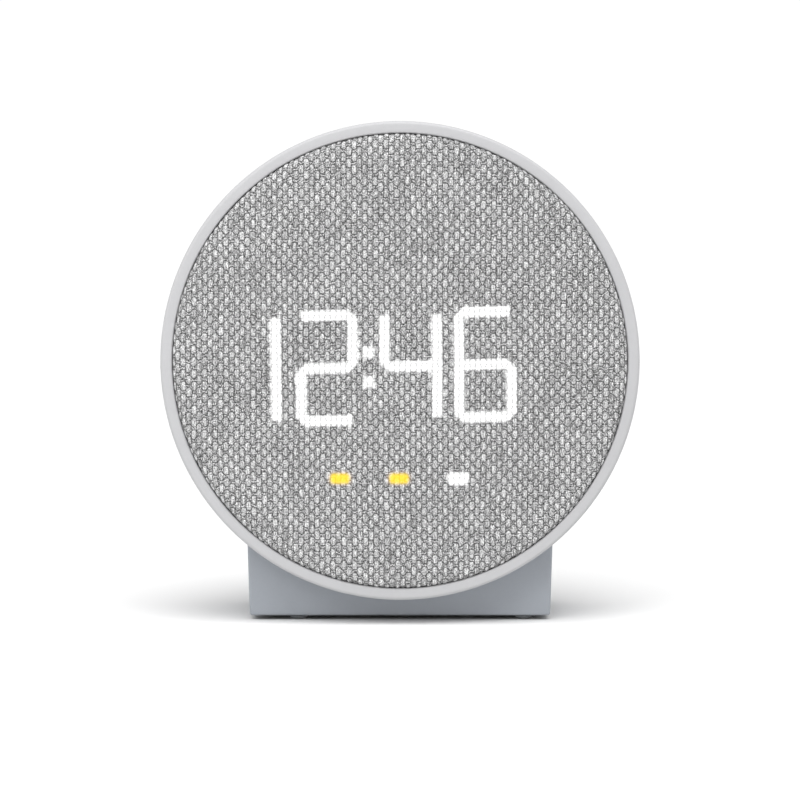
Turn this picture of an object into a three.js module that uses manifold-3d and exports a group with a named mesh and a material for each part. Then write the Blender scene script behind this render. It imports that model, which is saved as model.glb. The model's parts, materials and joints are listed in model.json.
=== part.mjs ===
// Bedside alarm clock: a round fabric-faced head on a weighted block stand.
// Millimetres. +Z is up, the face looks along -Y, and the origin is on the floor under the middle.
import * as THREE from "three";
import { mergeVertices } from "three/addons/utils/BufferGeometryUtils.js";
import Module from "manifold-3d";

const wasm = await Module();
wasm.setup();

// ---- Clearances and mesh fineness ----
const GAP = 0.3; // between neighbouring pieces
const CUT = 1; // how far a cutter runs past the face that it opens
const MERGE = 1e-4;
const DRUM_SIDES = 64;
const ROUND_SIDES = 16;
const SMALL_SIDES = 10;
const FILLET_STEPS = 2;

// ---- Head ----
const DISC_DIAMETER = 150;
const DRUM_DEPTH = 44;
const DRUM_WALL = 3;
const RIM_WIDTH = 3.35; // flat front ring seen round the fabric
const RIM_FILLET = 1.1;
const BACK_FILLET = 3;
const REAR_RIM_WIDTH = 5;
const LEDGE_REACH = 3.5;
const LEDGE_THICKNESS = 2.4;
const CARRIER_SEAT_DEPTH = 7; // from the rim's face back to the ledge that the carrier rests on
const COVER_THICKNESS = 2.4;
const COVER_RECESS = 0.9;

// ---- Fabric and its carrier ----
const FABRIC_PROUD = 1;
const FABRIC_THICKNESS = 0.8;
const FABRIC_EDGE_RADIUS = 1.8;
const CREVICE = 0.5; // dark gap between the fabric and the rim
const CARRIER_THICKNESS = 2;

// ---- Display ----
const DISPLAY_ROLL = THREE.MathUtils.degToRad(1.4);
const DISPLAY_CENTRE = { x: -2, z: -1.4 };
const SEGMENT_WIDTH = 3.6;
const SEGMENT_BREAK = 0.8; // dark break between two segments' tips
const DIGIT_WIDTH = 16.3; // between the middles of a digit's upright strokes
const DIGIT_HEIGHT = 32.9; // between the middles of its top and bottom strokes
const DIGIT_CENTRES = [-20.8, 5.4, 28.6]; // from the display's centre
const HALF_DIGIT_X = -36.8; // the leading 1 has only its two upright segments
const COLON_X = -7.8;
const COLON_SPACING = 9.3;
const COLON_SIZE = 3.6;
const MASK_WIDTH = 81;
const MASK_HEIGHT = 41;
const MASK_DEPTH = 6;
const WINDOW_THICKNESS = 1;
const GUIDE_PLATE = 1.2;
const INDICATOR_XS = [-18.8, -0.3, 18.2];
const INDICATOR_Z = -37;
const INDICATOR_WIDTH = 6.2;
const INDICATOR_HEIGHT = 3.5;
const INDICATOR_BAR = 1.6;
const LED_HEIGHT = 0.6;
const LED_SIZE = 2;

// ---- Boards ----
const BOARD_THICKNESS = 1.6;
const LED_BOARD_HALF_WIDTH = 45;
const LED_BOARD_Z = [-43, 23];
const MAIN_BOARD_HALF_WIDTH = 50;
const MAIN_BOARD_Z = [-9, 34];
const PORT_BOARD_HALF_WIDTH = 30;
const PORT_BOARD_TOP = -22;
const PORT_BOARD_LENGTH = 20;
const RIBBON_WIDTH = 12;
const RIBBON_THICKNESS = 0.8;
const RIBBON_Z = 12;

// ---- Buttons and their tact switches ----
const BUTTON_DIAMETER = 9;
const BUTTON_PROUD = 1.4; // beyond the rear cover's outer face
const BUTTON_TRAVEL = 0.8;
const BUTTON_ROW_Z = 22;
const BUTTON_PITCH = 16;
const BUTTON_NAMES = ["plus", "minus", "alarm_two", "alarm_one", "time"];
const FLANGE_REACH = 1.3;
const FLANGE_THICKNESS = 1;
const STEM_DIAMETER = 4;
const STEM_LENGTH = 1.5;
const SWITCH_SIZE = 6;
const SWITCH_HEIGHT = 3.4;
const PLUNGER_DIAMETER = 3;
const PLUNGER_SPARE = 0.4; // plunger left standing out of its switch at full travel
const PLUNGER_INSERT = 1.2;

// ---- Snooze bar, flush in the drum's top ----
const SNOOZE_LENGTH = 46;
const SNOOZE_WIDTH = 16;
const SNOOZE_TRAVEL = 1;
const SNOOZE_FROM_RIM = 22;
const SNOOZE_SKIN = 5; // bar thickness at its ends
const SNOOZE_FLANGE_REACH = 2;
const SNOOZE_BOARD_HALF_LENGTH = 30;

// ---- Brightness switch ----
const DIMMER_PLACE = { x: 34, z: 2 };
const DIMMER_TRAVEL = 2; // to each side
const DIMMER_KNOB = { length: 5, height: 4 };
const DIMMER_BODY = { length: 11, height: 6 };
const DIMMER_SHAFT = 2.4;

// ---- Ports, buzzer and back-up battery ----
const USB = { x: 18, width: 13.2, height: 5.8, length: 15, wall: 0.5, tongue: 1.8, tongueWidth: 10.2 };
const JACK = { x: -18, width: 9, height: 11, length: 12, back: 2, bore: 6.3, pin: 2, collar: 8.4 };
const BUZZER = { x: -36, z: -38, diameter: 17, height: 6, mouth: 4.2 };
const SOUND_SLOTS = { count: 5, pitch: 2.8, width: 1.3 };
const COIN = { diameter: 20, thickness: 3.2 };
const TRAY = { wall: 2, floor: 0.7, lip: 4.2 }; // sides, underside and outer end round the coin
const BATTERY_Z = -38;
const HOLDER_WALL = 1.6;
const CONTACT = { width: 6, length: 15, thickness: 0.6 };

// ---- Screws ----
const SCREW = { diameter: 2.4, head: 5, headHeight: 1.3, socket: 1.1 };
const HEAD_SCREW = { diameter: 3, head: 5.4, headHeight: 1.3, socket: 1.2 };
const BOSS_WALL = 2.1;
const COVER_SCREW_LENGTH = 10;
const COVER_SCREW_INSET = 5.5; // from the cover's seat to the screw circle
const BOARD_POST = { x: 45, z: 22 };
const BOARD_SCREW_LENGTH = 7;

// ---- Stand ----
const FOOT_HEIGHT = 1.4;
const FOOT_TOP_DIAMETER = 6.5;
const FOOT_SHOULDER_DIAMETER = 5.8;
const FOOT_FACE_DIAMETER = 4.3;
const FOOT_STEM_DIAMETER = 3.6;
const FOOT_INSET = 5;
const FRONT_FOOT_XS = [-32.4, 39.6];
const REAR_FOOT_XS = [-39.6, 39.6];
const HEAD_LIFT = 6.65; // drum's lowest line above the stand's underside
const STAND_WIDTH = 95.9; // at the underside
const STAND_TAPER = THREE.MathUtils.degToRad(1.7); // each side leans out going up
const STAND_HEIGHT = 26.75;
const STAND_SETBACK = 12; // stand's front behind the rim's face
const HEEL_DEPTH = 11; // stand behind the drum's back
const STAND_WALL = 2.4;
const STAND_CORNER = 1;
const SADDLE_CLEARANCE = 0.35;
const FLOOR_THICKNESS = 2.4;
const PAD = { from: 18, to: 38, thickness: 0.9, margin: 6 };
const HEAD_SCREW_X = 12;
const HEAD_SCREW_REACH = 10; // boss length inside the drum
const FLOOR_SCREW = { x: 22, fromMiddle: 8, length: 3.2 };
const BALLAST_INNER_X = 29;
const BALLAST_TOP = 22;

// ---- Places worked out from the sizes above ----
const drumRadius = DISC_DIAMETER / 2;
const seatRadius = drumRadius - RIM_WIDTH;
const innerRadius = drumRadius - DRUM_WALL;
const faceY = -(FABRIC_PROUD + DRUM_DEPTH + HEEL_DEPTH) / 2;
const rimY = faceY + FABRIC_PROUD;
const backY = rimY + DRUM_DEPTH;
const carrierLedgeY = rimY + CARRIER_SEAT_DEPTH;
const coverOuterY = backY - COVER_RECESS;
const coverInnerY = coverOuterY - COVER_THICKNESS;
const coverLedgeY = coverInnerY - GAP;
const coverSeatRadius = drumRadius - REAR_RIM_WIDTH;
const ledgeRadius = coverSeatRadius - LEDGE_REACH;
const coverScrewRadius = coverSeatRadius - COVER_SCREW_INSET;
const fabricRadius = seatRadius - CREVICE;
const carrierY = faceY + FABRIC_THICKNESS + GAP;
const carrierRadius = fabricRadius - FABRIC_THICKNESS - GAP;
const maskY = carrierY + WINDOW_THICKNESS + GAP;
const guideY = maskY + MASK_DEPTH + GAP;
const ledBoardY = guideY + GUIDE_PLATE + GAP + LED_HEIGHT;
const stemReach = (travel) => travel + PLUNGER_SPARE + GAP; // stem's end above its switch
const stemEndY = coverLedgeY - FLANGE_THICKNESS - STEM_LENGTH;
const switchTopY = stemEndY - stemReach(BUTTON_TRAVEL);
const mainBoardY = switchTopY - SWITCH_HEIGHT - GAP; // board's rear face
const snoozeY = rimY + SNOOZE_FROM_RIM;
const headZ = FOOT_HEIGHT + HEAD_LIFT + drumRadius;
const standFrontY = rimY + STAND_SETBACK;
const standBackY = backY + HEEL_DEPTH;
const standTopZ = FOOT_HEIGHT + STAND_HEIGHT;
const saddleRadius = drumRadius + SADDLE_CLEARANCE;
const floorTopZ = FOOT_HEIGHT + FLOOR_THICKNESS;
const saddleMiddleY = (standFrontY + backY) / 2;
const holeOf = (diameter) => diameter / 2 + GAP; // radius of a hole that clears a rod
const trayWidth = COIN.diameter + 2 * TRAY.wall;
const trayThickness = COIN.thickness + TRAY.floor + 2 * GAP;
const trayLength = COIN.diameter + 2 * GAP + TRAY.lip;

// ---- Solids ----
function solid(geometry) {
  const bare = geometry.index ? geometry.toNonIndexed() : geometry.clone();
  bare.deleteAttribute("normal");
  bare.deleteAttribute("uv");
  const merged = mergeVertices(bare, MERGE);
  const vertProperties = merged.attributes.position.array;
  const triVerts = new Uint32Array(merged.index.array);
  return new wasm.Manifold(new wasm.Mesh({ numProp: 3, vertProperties, triVerts }));
}

function geometryOf(body) {
  const mesh = body.getMesh();
  const geometry = new THREE.BufferGeometry();
  geometry.setAttribute("position", new THREE.BufferAttribute(mesh.vertProperties, 3));
  geometry.setIndex(new THREE.BufferAttribute(mesh.triVerts, 1));
  geometry.computeVertexNormals();
  return geometry;
}

const unite = (bodies) => bodies.reduce((whole, body) => whole.add(body));
const cutAll = (body, cutters) => cutters.reduce((rest, cutter) => rest.subtract(cutter), body);
const span = (middle, size) => [middle - size / 2, middle + size / 2];
const widen = ([low, high], by) => [low - by, high + by];

// A box between two values on each axis.
function block([x0, x1], [y0, y1], [z0, z1]) {
  const geometry = new THREE.BoxGeometry(x1 - x0, y1 - y0, z1 - z0);
  geometry.translate((x0 + x1) / 2, (y0 + y1) / 2, (z0 + z1) / 2);
  return solid(geometry);
}

// A round rod along Y through (x, z).
function rodY(radius, [y0, y1], x = 0, z = 0, sides = ROUND_SIDES) {
  const geometry = new THREE.CylinderGeometry(radius, radius, y1 - y0, sides);
  geometry.translate(x, (y0 + y1) / 2, z);
  return solid(geometry);
}

// A round rod along Z through (x, y).
function rodZ(radius, [z0, z1], x, y, sides = ROUND_SIDES) {
  const geometry = new THREE.CylinderGeometry(radius, radius, z1 - z0, sides);
  geometry.rotateX(Math.PI / 2);
  geometry.translate(x, y, (z0 + z1) / 2);
  return solid(geometry);
}

// A profile of [radius, height] points turned about Y. It starts and ends on the axis, or closes.
function latheOf(profile, sides) {
  const points = profile.map(([radius, height]) => new THREE.Vector2(radius, height));
  const onAxis = profile[0][0] === 0 && profile[profile.length - 1][0] === 0;
  if (!THREE.ShapeUtils.isClockWise(points)) points.reverse();
  if (!onAxis) points.push(points[0].clone());
  return new THREE.LatheGeometry(points.reverse(), sides);
}

function turnedY(profile, sides = ROUND_SIDES, x = 0, z = 0) {
  return solid(latheOf(profile, sides).translate(x, 0, z));
}

function turnedZ(profile, x, y, sides = ROUND_SIDES) {
  return solid(latheOf(profile, sides).rotateX(Math.PI / 2).translate(x, y, 0));
}

// Points of a quarter fillet about (r, h), between two angles.
function fillet(r, h, radius, from, to) {
  return Array.from({ length: FILLET_STEPS + 1 }, (_, i) => {
    const angle = from + ((to - from) * i) / FILLET_STEPS;
    return [r + radius * Math.cos(angle), h + radius * Math.sin(angle)];
  });
}

// An outline of [x, z] points extruded along Y.
function prismY(outline, [y0, y1]) {
  const shape = new THREE.Shape(outline.map(([x, z]) => new THREE.Vector2(x, z)));
  const geometry = new THREE.ExtrudeGeometry(shape, { depth: y1 - y0, bevelEnabled: false });
  return solid(geometry.rotateX(Math.PI / 2).translate(0, y1, 0));
}

// Keeps only what lies inside the drum's wall, with room to spare.
function insideDrum(body, room = BOSS_WALL) {
  return body.intersect(rodY(innerRadius - room, [faceY, standBackY], 0, 0, DRUM_SIDES));
}

// Turns a body of the display with the slight roll that the display has in the head.
function rolled(body) {
  const degrees = THREE.MathUtils.radToDeg(-DISPLAY_ROLL);
  return body.rotate([0, degrees, 0]).translate([DISPLAY_CENTRE.x, 0, DISPLAY_CENTRE.z]);
}

// ---- Materials ----
function material(color, roughness, metalness = 0) {
  return () => new THREE.MeshStandardMaterial({ color, roughness, metalness });
}
const rimPlastic = material(0xd6d7da, 0.5);
const standPlastic = material(0x9da2a9, 0.6);
const cloth = material(0xa8a8a8, 0.95);
const blackPlastic = material(0x26272a, 0.6);
const whitePlastic = material(0xe6e7e8, 0.55);
const lightGuidePlastic = material(0xf4f6f8, 0.25);
const boardLaminate = material(0x1f5a3c, 0.5);
const ribbonPlastic = material(0xe3e0d6, 0.5);
const buttonPlastic = material(0xb9bcc1, 0.5);
const springSteel = material(0xb8bbc0, 0.35, 1);
const screwSteel = material(0x8d9096, 0.35, 1);
const castIron = material(0x4a4c50, 0.7, 1);
const padRubber = material(0x2c2d30, 0.9);
const footRubber = material(0x6a6c70, 0.8);

// ---- Screws and switches ----
// A pan-head screw with its shank along `direction` of Y (+1 or -1) from the head's seat.
function screwY({ diameter, head, headHeight, socket }, length, seatY, direction, x, z) {
  const at = (distance) => seatY + direction * distance;
  const profile = [
    [0, at(-headHeight)],
    [head / 2 - headHeight / 2, at(-headHeight)],
    [head / 2, at(-headHeight / 2)],
    [head / 2, at(0)],
    [diameter / 2, at(0)],
    [diameter / 2, at(length - diameter / 2)],
    [0, at(length)],
  ];
  const slotEnds = [at(-headHeight - CUT), at(socket - headHeight)].sort((a, b) => a - b);
  const body = turnedY(profile, SMALL_SIDES, x, z);
  const slots = [
    block(span(x, head / 2), slotEnds, span(z, socket / 2)),
    block(span(x, socket / 2), slotEnds, span(z, head / 2)),
  ];
  return cutAll(body, slots);
}

// The same screw standing up along +Z, from the underside.
function screwZ({ diameter, head, headHeight, socket }, length, seatZ, x, y) {
  const profile = [
    [0, seatZ - headHeight],
    [head / 2 - headHeight / 2, seatZ - headHeight],
    [head / 2, seatZ - headHeight / 2],
    [head / 2, seatZ],
    [diameter / 2, seatZ],
    [diameter / 2, seatZ + length - diameter / 2],
    [0, seatZ + length],
  ];
  const slotEnds = [seatZ - headHeight - CUT, seatZ - headHeight + socket / 2];
  const slots = [
    block(span(x, head / 2), span(y, socket / 2), slotEnds),
    block(span(x, socket / 2), span(y, head / 2), slotEnds),
  ];
  return cutAll(turnedZ(profile, x, y, SMALL_SIDES), slots);
}

// A tact switch's body and plunger along Y, with the plunger's tip GAP short of the stem.
function tactSwitchY(topY, stemY, travel, x, z) {
  const boreFloor = topY - PLUNGER_INSERT - travel - GAP;
  const bore = rodY(holeOf(PLUNGER_DIAMETER), [boreFloor, topY + CUT], x, z, SMALL_SIDES);
  const housing = block(span(x, SWITCH_SIZE), [topY - SWITCH_HEIGHT, topY], span(z, SWITCH_SIZE));
  const plunger = rodY(PLUNGER_DIAMETER / 2, [topY - PLUNGER_INSERT, stemY - GAP], x, z, SMALL_SIDES);
  return { housing: housing.subtract(bore), plunger };
}

// ---- Head pieces, about the drum's own axis ----
function drumShell() {
  const rimArc = fillet(drumRadius - RIM_FILLET, rimY + RIM_FILLET, RIM_FILLET, -Math.PI / 2, 0);
  const backArc = fillet(drumRadius - BACK_FILLET, backY - BACK_FILLET, BACK_FILLET, 0, Math.PI / 2);
  const profile = [
    [seatRadius, rimY + GAP],
    [seatRadius + GAP, rimY],
    ...rimArc,
    ...backArc,
    [coverSeatRadius, backY],
    [coverSeatRadius, coverLedgeY],
    [ledgeRadius, coverLedgeY],
    [ledgeRadius, coverLedgeY - LEDGE_THICKNESS],
    [innerRadius, coverLedgeY - LEDGE_THICKNESS - LEDGE_REACH],
    [innerRadius, carrierLedgeY + LEDGE_THICKNESS],
    [seatRadius - LEDGE_REACH, carrierLedgeY + LEDGE_THICKNESS],
    [seatRadius - LEDGE_REACH, carrierLedgeY],
    [seatRadius, carrierLedgeY],
  ];
  const bossRadius = SCREW.diameter / 2 + BOSS_WALL;
  const coverBosses = coverScrewPlaces().map(([x, z]) => {
    return rodY(bossRadius, [coverLedgeY - COVER_SCREW_LENGTH - BOSS_WALL, coverLedgeY], x, z);
  });
  const coverPilots = coverScrewPlaces().map(([x, z]) => {
    const pilot = [coverLedgeY - COVER_SCREW_LENGTH, coverLedgeY + CUT];
    return rodY(holeOf(SCREW.diameter), pilot, x, z, SMALL_SIDES);
  });
  const bossTop = HEAD_SCREW_REACH - innerRadius;
  const standBosses = [-HEAD_SCREW_X, HEAD_SCREW_X].map((x) => {
    const boss = rodZ(HEAD_SCREW.diameter / 2 + BOSS_WALL, [-drumRadius, bossTop], x, saddleMiddleY);
    return insideDrum(boss, -DRUM_WALL / 2);
  });
  const standPilots = [-HEAD_SCREW_X, HEAD_SCREW_X].map((x) => {
    const pilot = [-drumRadius - CUT, bossTop - BOSS_WALL / 2];
    return rodZ(holeOf(HEAD_SCREW.diameter), pilot, x, saddleMiddleY, SMALL_SIDES);
  });
  const snoozeOpening = block(
    span(0, SNOOZE_LENGTH + 2 * GAP),
    span(snoozeY, SNOOZE_WIDTH + 2 * GAP),
    [drumRadius / 2, drumRadius + CUT],
  );
  const shell = unite([turnedY(profile, DRUM_SIDES), ...coverBosses, ...standBosses]);
  return cutAll(shell, [...coverPilots, ...standPilots, snoozeOpening]);
}

function coverScrewPlaces() {
  const side = coverScrewRadius * Math.SQRT1_2;
  return [[-side, -side], [side, -side], [side, side], [-side, side]];
}

function fabricCover() {
  const outerArc = fillet(
    fabricRadius - FABRIC_EDGE_RADIUS, faceY + FABRIC_EDGE_RADIUS, FABRIC_EDGE_RADIUS, 0, -Math.PI / 2,
  );
  const innerArc = fillet(
    fabricRadius - FABRIC_EDGE_RADIUS, faceY + FABRIC_EDGE_RADIUS,
    FABRIC_EDGE_RADIUS - FABRIC_THICKNESS, -Math.PI / 2, 0,
  );
  const hemY = carrierLedgeY - GAP;
  const profile = [
    [0, faceY + FABRIC_THICKNESS],
    ...innerArc,
    [fabricRadius - FABRIC_THICKNESS, hemY],
    [fabricRadius, hemY],
    ...outerArc,
    [0, faceY],
  ];
  return turnedY(profile, DRUM_SIDES);
}

function grilleCarrier() {
  const skirtY = carrierLedgeY - GAP;
  const edge = FABRIC_EDGE_RADIUS - FABRIC_THICKNESS;
  const profile = [
    [0, carrierY],
    [carrierRadius - edge, carrierY],
    [carrierRadius, carrierY + edge],
    [carrierRadius, skirtY],
    [carrierRadius - CARRIER_THICKNESS, skirtY],
    [carrierRadius - CARRIER_THICKNESS, carrierY + CARRIER_THICKNESS],
    [0, carrierY + CARRIER_THICKNESS],
  ];
  const through = [carrierY - CUT, carrierY + CARRIER_THICKNESS + CUT];
  const opening = block(span(0, MASK_WIDTH + 2 * GAP), through, span(0, MASK_HEIGHT + 2 * GAP));
  const slotZ = span(INDICATOR_Z, INDICATOR_HEIGHT + 2 * GAP);
  const slots = INDICATOR_XS.map((x) => block(span(x, INDICATOR_WIDTH + 2 * GAP), through, slotZ));
  return cutAll(turnedY(profile, DRUM_SIDES / 2), [rolled(opening), ...slots]);
}

// The outline of one pointed segment, `length` from tip to tip, about its own middle.
function segmentOutline(length, width, x, z, upright) {
  const tip = length / 2;
  const shoulder = tip - width / 2;
  const half = width / 2;
  const lower = [[-tip, 0], [-shoulder, -half], [shoulder, -half]];
  const upper = lower.map(([u, v]) => [-u, -v]);
  return [...lower, ...upper].map(([u, v]) => (upright ? [x - v, z + u] : [x + u, z + v]));
}

// Every segment and dot of the display as [x, z] outlines, each drawn in by `inset`.
function displayOutlines(inset) {
  const width = SEGMENT_WIDTH - 2 * inset;
  const across = DIGIT_WIDTH - SEGMENT_BREAK - 2 * inset;
  const tall = DIGIT_HEIGHT / 2 - SEGMENT_BREAK - 2 * inset;
  const quarter = DIGIT_HEIGHT / 4;
  const pairAt = (x) => [quarter, -quarter].map((z) => segmentOutline(tall, width, x, z, true));
  const digits = DIGIT_CENTRES.flatMap((x) => [
    ...[-2, 0, 2].map((step) => segmentOutline(across, width, x, step * quarter, false)),
    ...pairAt(x - DIGIT_WIDTH / 2),
    ...pairAt(x + DIGIT_WIDTH / 2),
  ]);
  const dot = COLON_SIZE / 2 - inset;
  const corners = [[-dot, -dot], [dot, -dot], [dot, dot], [-dot, dot]];
  const dots = [COLON_SPACING / 2, -COLON_SPACING / 2].map((middle) => {
    return corners.map(([x, z]) => [COLON_X + x, middle + z]);
  });
  return [...pairAt(HALF_DIGIT_X), ...digits, ...dots];
}

function displayWindow() {
  const y = [carrierY, carrierY + WINDOW_THICKNESS];
  return rolled(block(span(0, MASK_WIDTH), y, span(0, MASK_HEIGHT)));
}

function segmentMask() {
  const plate = block(span(0, MASK_WIDTH), [maskY, maskY + MASK_DEPTH], span(0, MASK_HEIGHT));
  const through = [maskY - CUT, maskY + MASK_DEPTH + CUT];
  const cells = displayOutlines(0).map((outline) => prismY(outline, through));
  return rolled(cutAll(plate, cells));
}

function segmentLightGuide() {
  const plate = block(span(0, MASK_WIDTH), [guideY, guideY + GUIDE_PLATE], span(0, MASK_HEIGHT));
  const rodReach = [maskY, guideY + GUIDE_PLATE / 2];
  const rods = displayOutlines(GAP).map((outline) => prismY(outline, rodReach));
  return rolled(unite([plate, ...rods]));
}

function indicatorLightGuide() {
  const barY = [guideY, guideY + GUIDE_PLATE];
  const barX = [INDICATOR_XS[0], INDICATOR_XS[INDICATOR_XS.length - 1]];
  const barZ = span(INDICATOR_Z, INDICATOR_HEIGHT + INDICATOR_BAR);
  const bar = block(widen(barX, INDICATOR_WIDTH / 2), barY, barZ);
  const padY = [carrierY, guideY + GUIDE_PLATE / 2];
  const padZ = span(INDICATOR_Z, INDICATOR_HEIGHT);
  const pads = INDICATOR_XS.map((x) => block(span(x, INDICATOR_WIDTH), padY, padZ));
  return unite([bar, ...pads]);
}

function ledBoard() {
  const board = block(
    [-LED_BOARD_HALF_WIDTH, LED_BOARD_HALF_WIDTH],
    [ledBoardY, ledBoardY + BOARD_THICKNESS],
    LED_BOARD_Z,
  );
  const ledY = [ledBoardY - LED_HEIGHT, ledBoardY + BOARD_THICKNESS / 2];
  const digitLeds = displayOutlines(0).map((outline) => {
    const x = outline.reduce((sum, point) => sum + point[0], 0) / outline.length;
    const z = outline.reduce((sum, point) => sum + point[1], 0) / outline.length;
    return rolled(block(span(x, LED_SIZE), ledY, span(z, LED_SIZE)));
  });
  const indicatorLeds = INDICATOR_XS.map((x) => {
    return block(span(x, LED_SIZE), ledY, span(INDICATOR_Z, LED_SIZE));
  });
  return insideDrum(unite([board, ...digitLeds, ...indicatorLeds]));
}

function mainBoard() {
  const boardY = [mainBoardY - BOARD_THICKNESS, mainBoardY];
  const board = block([-MAIN_BOARD_HALF_WIDTH, MAIN_BOARD_HALF_WIDTH], boardY, MAIN_BOARD_Z);
  const holes = boardPostPlaces().map(([x, z]) => {
    return rodY(holeOf(SCREW.diameter), widen(boardY, CUT), x, z, SMALL_SIDES);
  });
  return cutAll(insideDrum(board), holes);
}

function boardPostPlaces() {
  return [[-BOARD_POST.x, BOARD_POST.z], [BOARD_POST.x, BOARD_POST.z]];
}

// A flat ribbon in one smooth bend from the LED board back to the main board.
function ribbonCable() {
  const start = ledBoardY + BOARD_THICKNESS + GAP;
  const end = mainBoardY - BOARD_THICKNESS - GAP;
  const bend = (end - start) / 2;
  const path = new THREE.CubicBezierCurve3(
    new THREE.Vector3(0, start, RIBBON_Z - bend / 2),
    new THREE.Vector3(0, start + bend, RIBBON_Z - bend / 2),
    new THREE.Vector3(0, end - bend, RIBBON_Z + bend / 2),
    new THREE.Vector3(0, end, RIBBON_Z + bend / 2),
  );
  const section = new THREE.Shape([
    new THREE.Vector2(-RIBBON_THICKNESS / 2, -RIBBON_WIDTH / 2),
    new THREE.Vector2(RIBBON_THICKNESS / 2, -RIBBON_WIDTH / 2),
    new THREE.Vector2(RIBBON_THICKNESS / 2, RIBBON_WIDTH / 2),
    new THREE.Vector2(-RIBBON_THICKNESS / 2, RIBBON_WIDTH / 2),
  ]);
  return solid(new THREE.ExtrudeGeometry(section, { steps: ROUND_SIDES, extrudePath: path }));
}

// ---- Rear cover and what reaches through it ----
function buttonXs() {
  const middle = (BUTTON_NAMES.length - 1) / 2;
  return BUTTON_NAMES.map((_, i) => (i - middle) * BUTTON_PITCH);
}

function rearCover() {
  const plateY = [coverInnerY, coverOuterY];
  const through = widen(plateY, CUT);
  const plate = turnedY(
    [
      [0, coverInnerY],
      [coverSeatRadius - GAP, coverInnerY],
      [coverSeatRadius - GAP, coverOuterY - GAP],
      [coverSeatRadius - 2 * GAP, coverOuterY],
      [0, coverOuterY],
    ],
    DRUM_SIDES / 2,
  );
  const postY = [mainBoardY + GAP, coverInnerY + GAP];
  const posts = boardPostPlaces().map(([x, z]) => {
    return rodY(SCREW.diameter / 2 + BOSS_WALL, postY, x, z, SMALL_SIDES);
  });
  const postPilots = boardPostPlaces().map(([x, z]) => {
    return rodY(holeOf(SCREW.diameter), [mainBoardY, coverInnerY], x, z, SMALL_SIDES);
  });
  const buttonHoles = buttonXs().map((x) => rodY(holeOf(BUTTON_DIAMETER), through, x, BUTTON_ROW_Z));
  const screwHoles = coverScrewPlaces().flatMap(([x, z]) => [
    rodY(holeOf(SCREW.diameter), through, x, z, SMALL_SIDES),
    rodY(holeOf(SCREW.head), [coverOuterY - SCREW.headHeight, coverOuterY + CUT], x, z, ROUND_SIDES),
  ]);
  const dimmerSlot = block(
    span(DIMMER_PLACE.x, DIMMER_KNOB.length + 2 * (DIMMER_TRAVEL + GAP)),
    through,
    span(DIMMER_PLACE.z, DIMMER_KNOB.height + 2 * GAP),
  );
  const usbCut = block(span(USB.x, USB.width + 2 * GAP), through, span(usbZ(), USB.height + 2 * GAP));
  const jackHole = rodY(holeOf(JACK.collar), through, JACK.x, jackZ());
  const traySlotZ = span(BATTERY_Z, trayThickness + 2 * GAP);
  const traySlot = block(span(0, trayWidth + 2 * GAP), through, traySlotZ);
  const slotRow = Array.from({ length: SOUND_SLOTS.count }, (_, i) => i - (SOUND_SLOTS.count - 1) / 2);
  const soundSlots = slotRow.map((step) => {
    const rise = step * SOUND_SLOTS.pitch;
    const half = Math.sqrt((BUZZER.diameter / 2) ** 2 - rise ** 2) - SOUND_SLOTS.width;
    const z = span(BUZZER.z + rise, SOUND_SLOTS.width);
    return block([BUZZER.x - half, BUZZER.x + half], through, z);
  });
  const sockets = [dimmerSlot, usbCut, jackHole, traySlot];
  const openings = [...buttonHoles, ...screwHoles, ...sockets, ...soundSlots, ...postPilots];
  return cutAll(unite([plate, ...posts]), openings);
}

function pressButton(x) {
  const radius = BUTTON_DIAMETER / 2;
  const tipY = coverOuterY + BUTTON_PROUD;
  const profile = [
    [0, stemEndY],
    [STEM_DIAMETER / 2, stemEndY],
    [STEM_DIAMETER / 2, coverLedgeY - FLANGE_THICKNESS],
    [radius + FLANGE_REACH, coverLedgeY - FLANGE_THICKNESS],
    [radius + FLANGE_REACH, coverLedgeY],
    [radius, coverLedgeY],
    [radius, tipY - GAP],
    [radius - GAP, tipY],
    [0, tipY],
  ];
  return turnedY(profile, ROUND_SIDES, x, BUTTON_ROW_Z);
}

const usbZ = () => PORT_BOARD_TOP + GAP + USB.height / 2;
const jackZ = () => PORT_BOARD_TOP + GAP + JACK.height / 2;

function portBoard() {
  const y = [coverInnerY - GAP - PORT_BOARD_LENGTH, coverInnerY - GAP];
  const z = [PORT_BOARD_TOP - BOARD_THICKNESS, PORT_BOARD_TOP];
  return block([-PORT_BOARD_HALF_WIDTH, PORT_BOARD_HALF_WIDTH], y, z);
}

function usbPort() {
  const y = [coverOuterY - USB.length, coverOuterY];
  const shell = block(span(USB.x, USB.width), y, span(usbZ(), USB.height));
  const mouth = block(
    span(USB.x, USB.width - 2 * USB.wall),
    [y[0] + CUT, y[1] + CUT],
    span(usbZ(), USB.height - 2 * USB.wall),
  );
  const tongueZ = usbZ() + USB.height / 2 - USB.wall - USB.tongue;
  const tongueY = [y[0], y[1] - CUT];
  const tongue = block(span(USB.x, USB.tongueWidth), tongueY, span(tongueZ, USB.tongue));
  return shell.subtract(mouth).add(tongue);
}

function dcJack() {
  const bodyY = [coverLedgeY - JACK.length, coverLedgeY];
  const housing = block(span(JACK.x, JACK.width), bodyY, span(jackZ(), JACK.height));
  const collar = rodY(JACK.collar / 2, [coverLedgeY - CUT, coverOuterY], JACK.x, jackZ());
  const boreY = [bodyY[0] + JACK.back, coverOuterY + CUT];
  const bore = rodY(JACK.bore / 2, boreY, JACK.x, jackZ(), SMALL_SIDES);
  const pin = rodY(JACK.pin / 2, [bodyY[0] + CUT, coverOuterY - CUT], JACK.x, jackZ(), SMALL_SIDES);
  return housing.add(collar).subtract(bore).add(pin);
}

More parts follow.
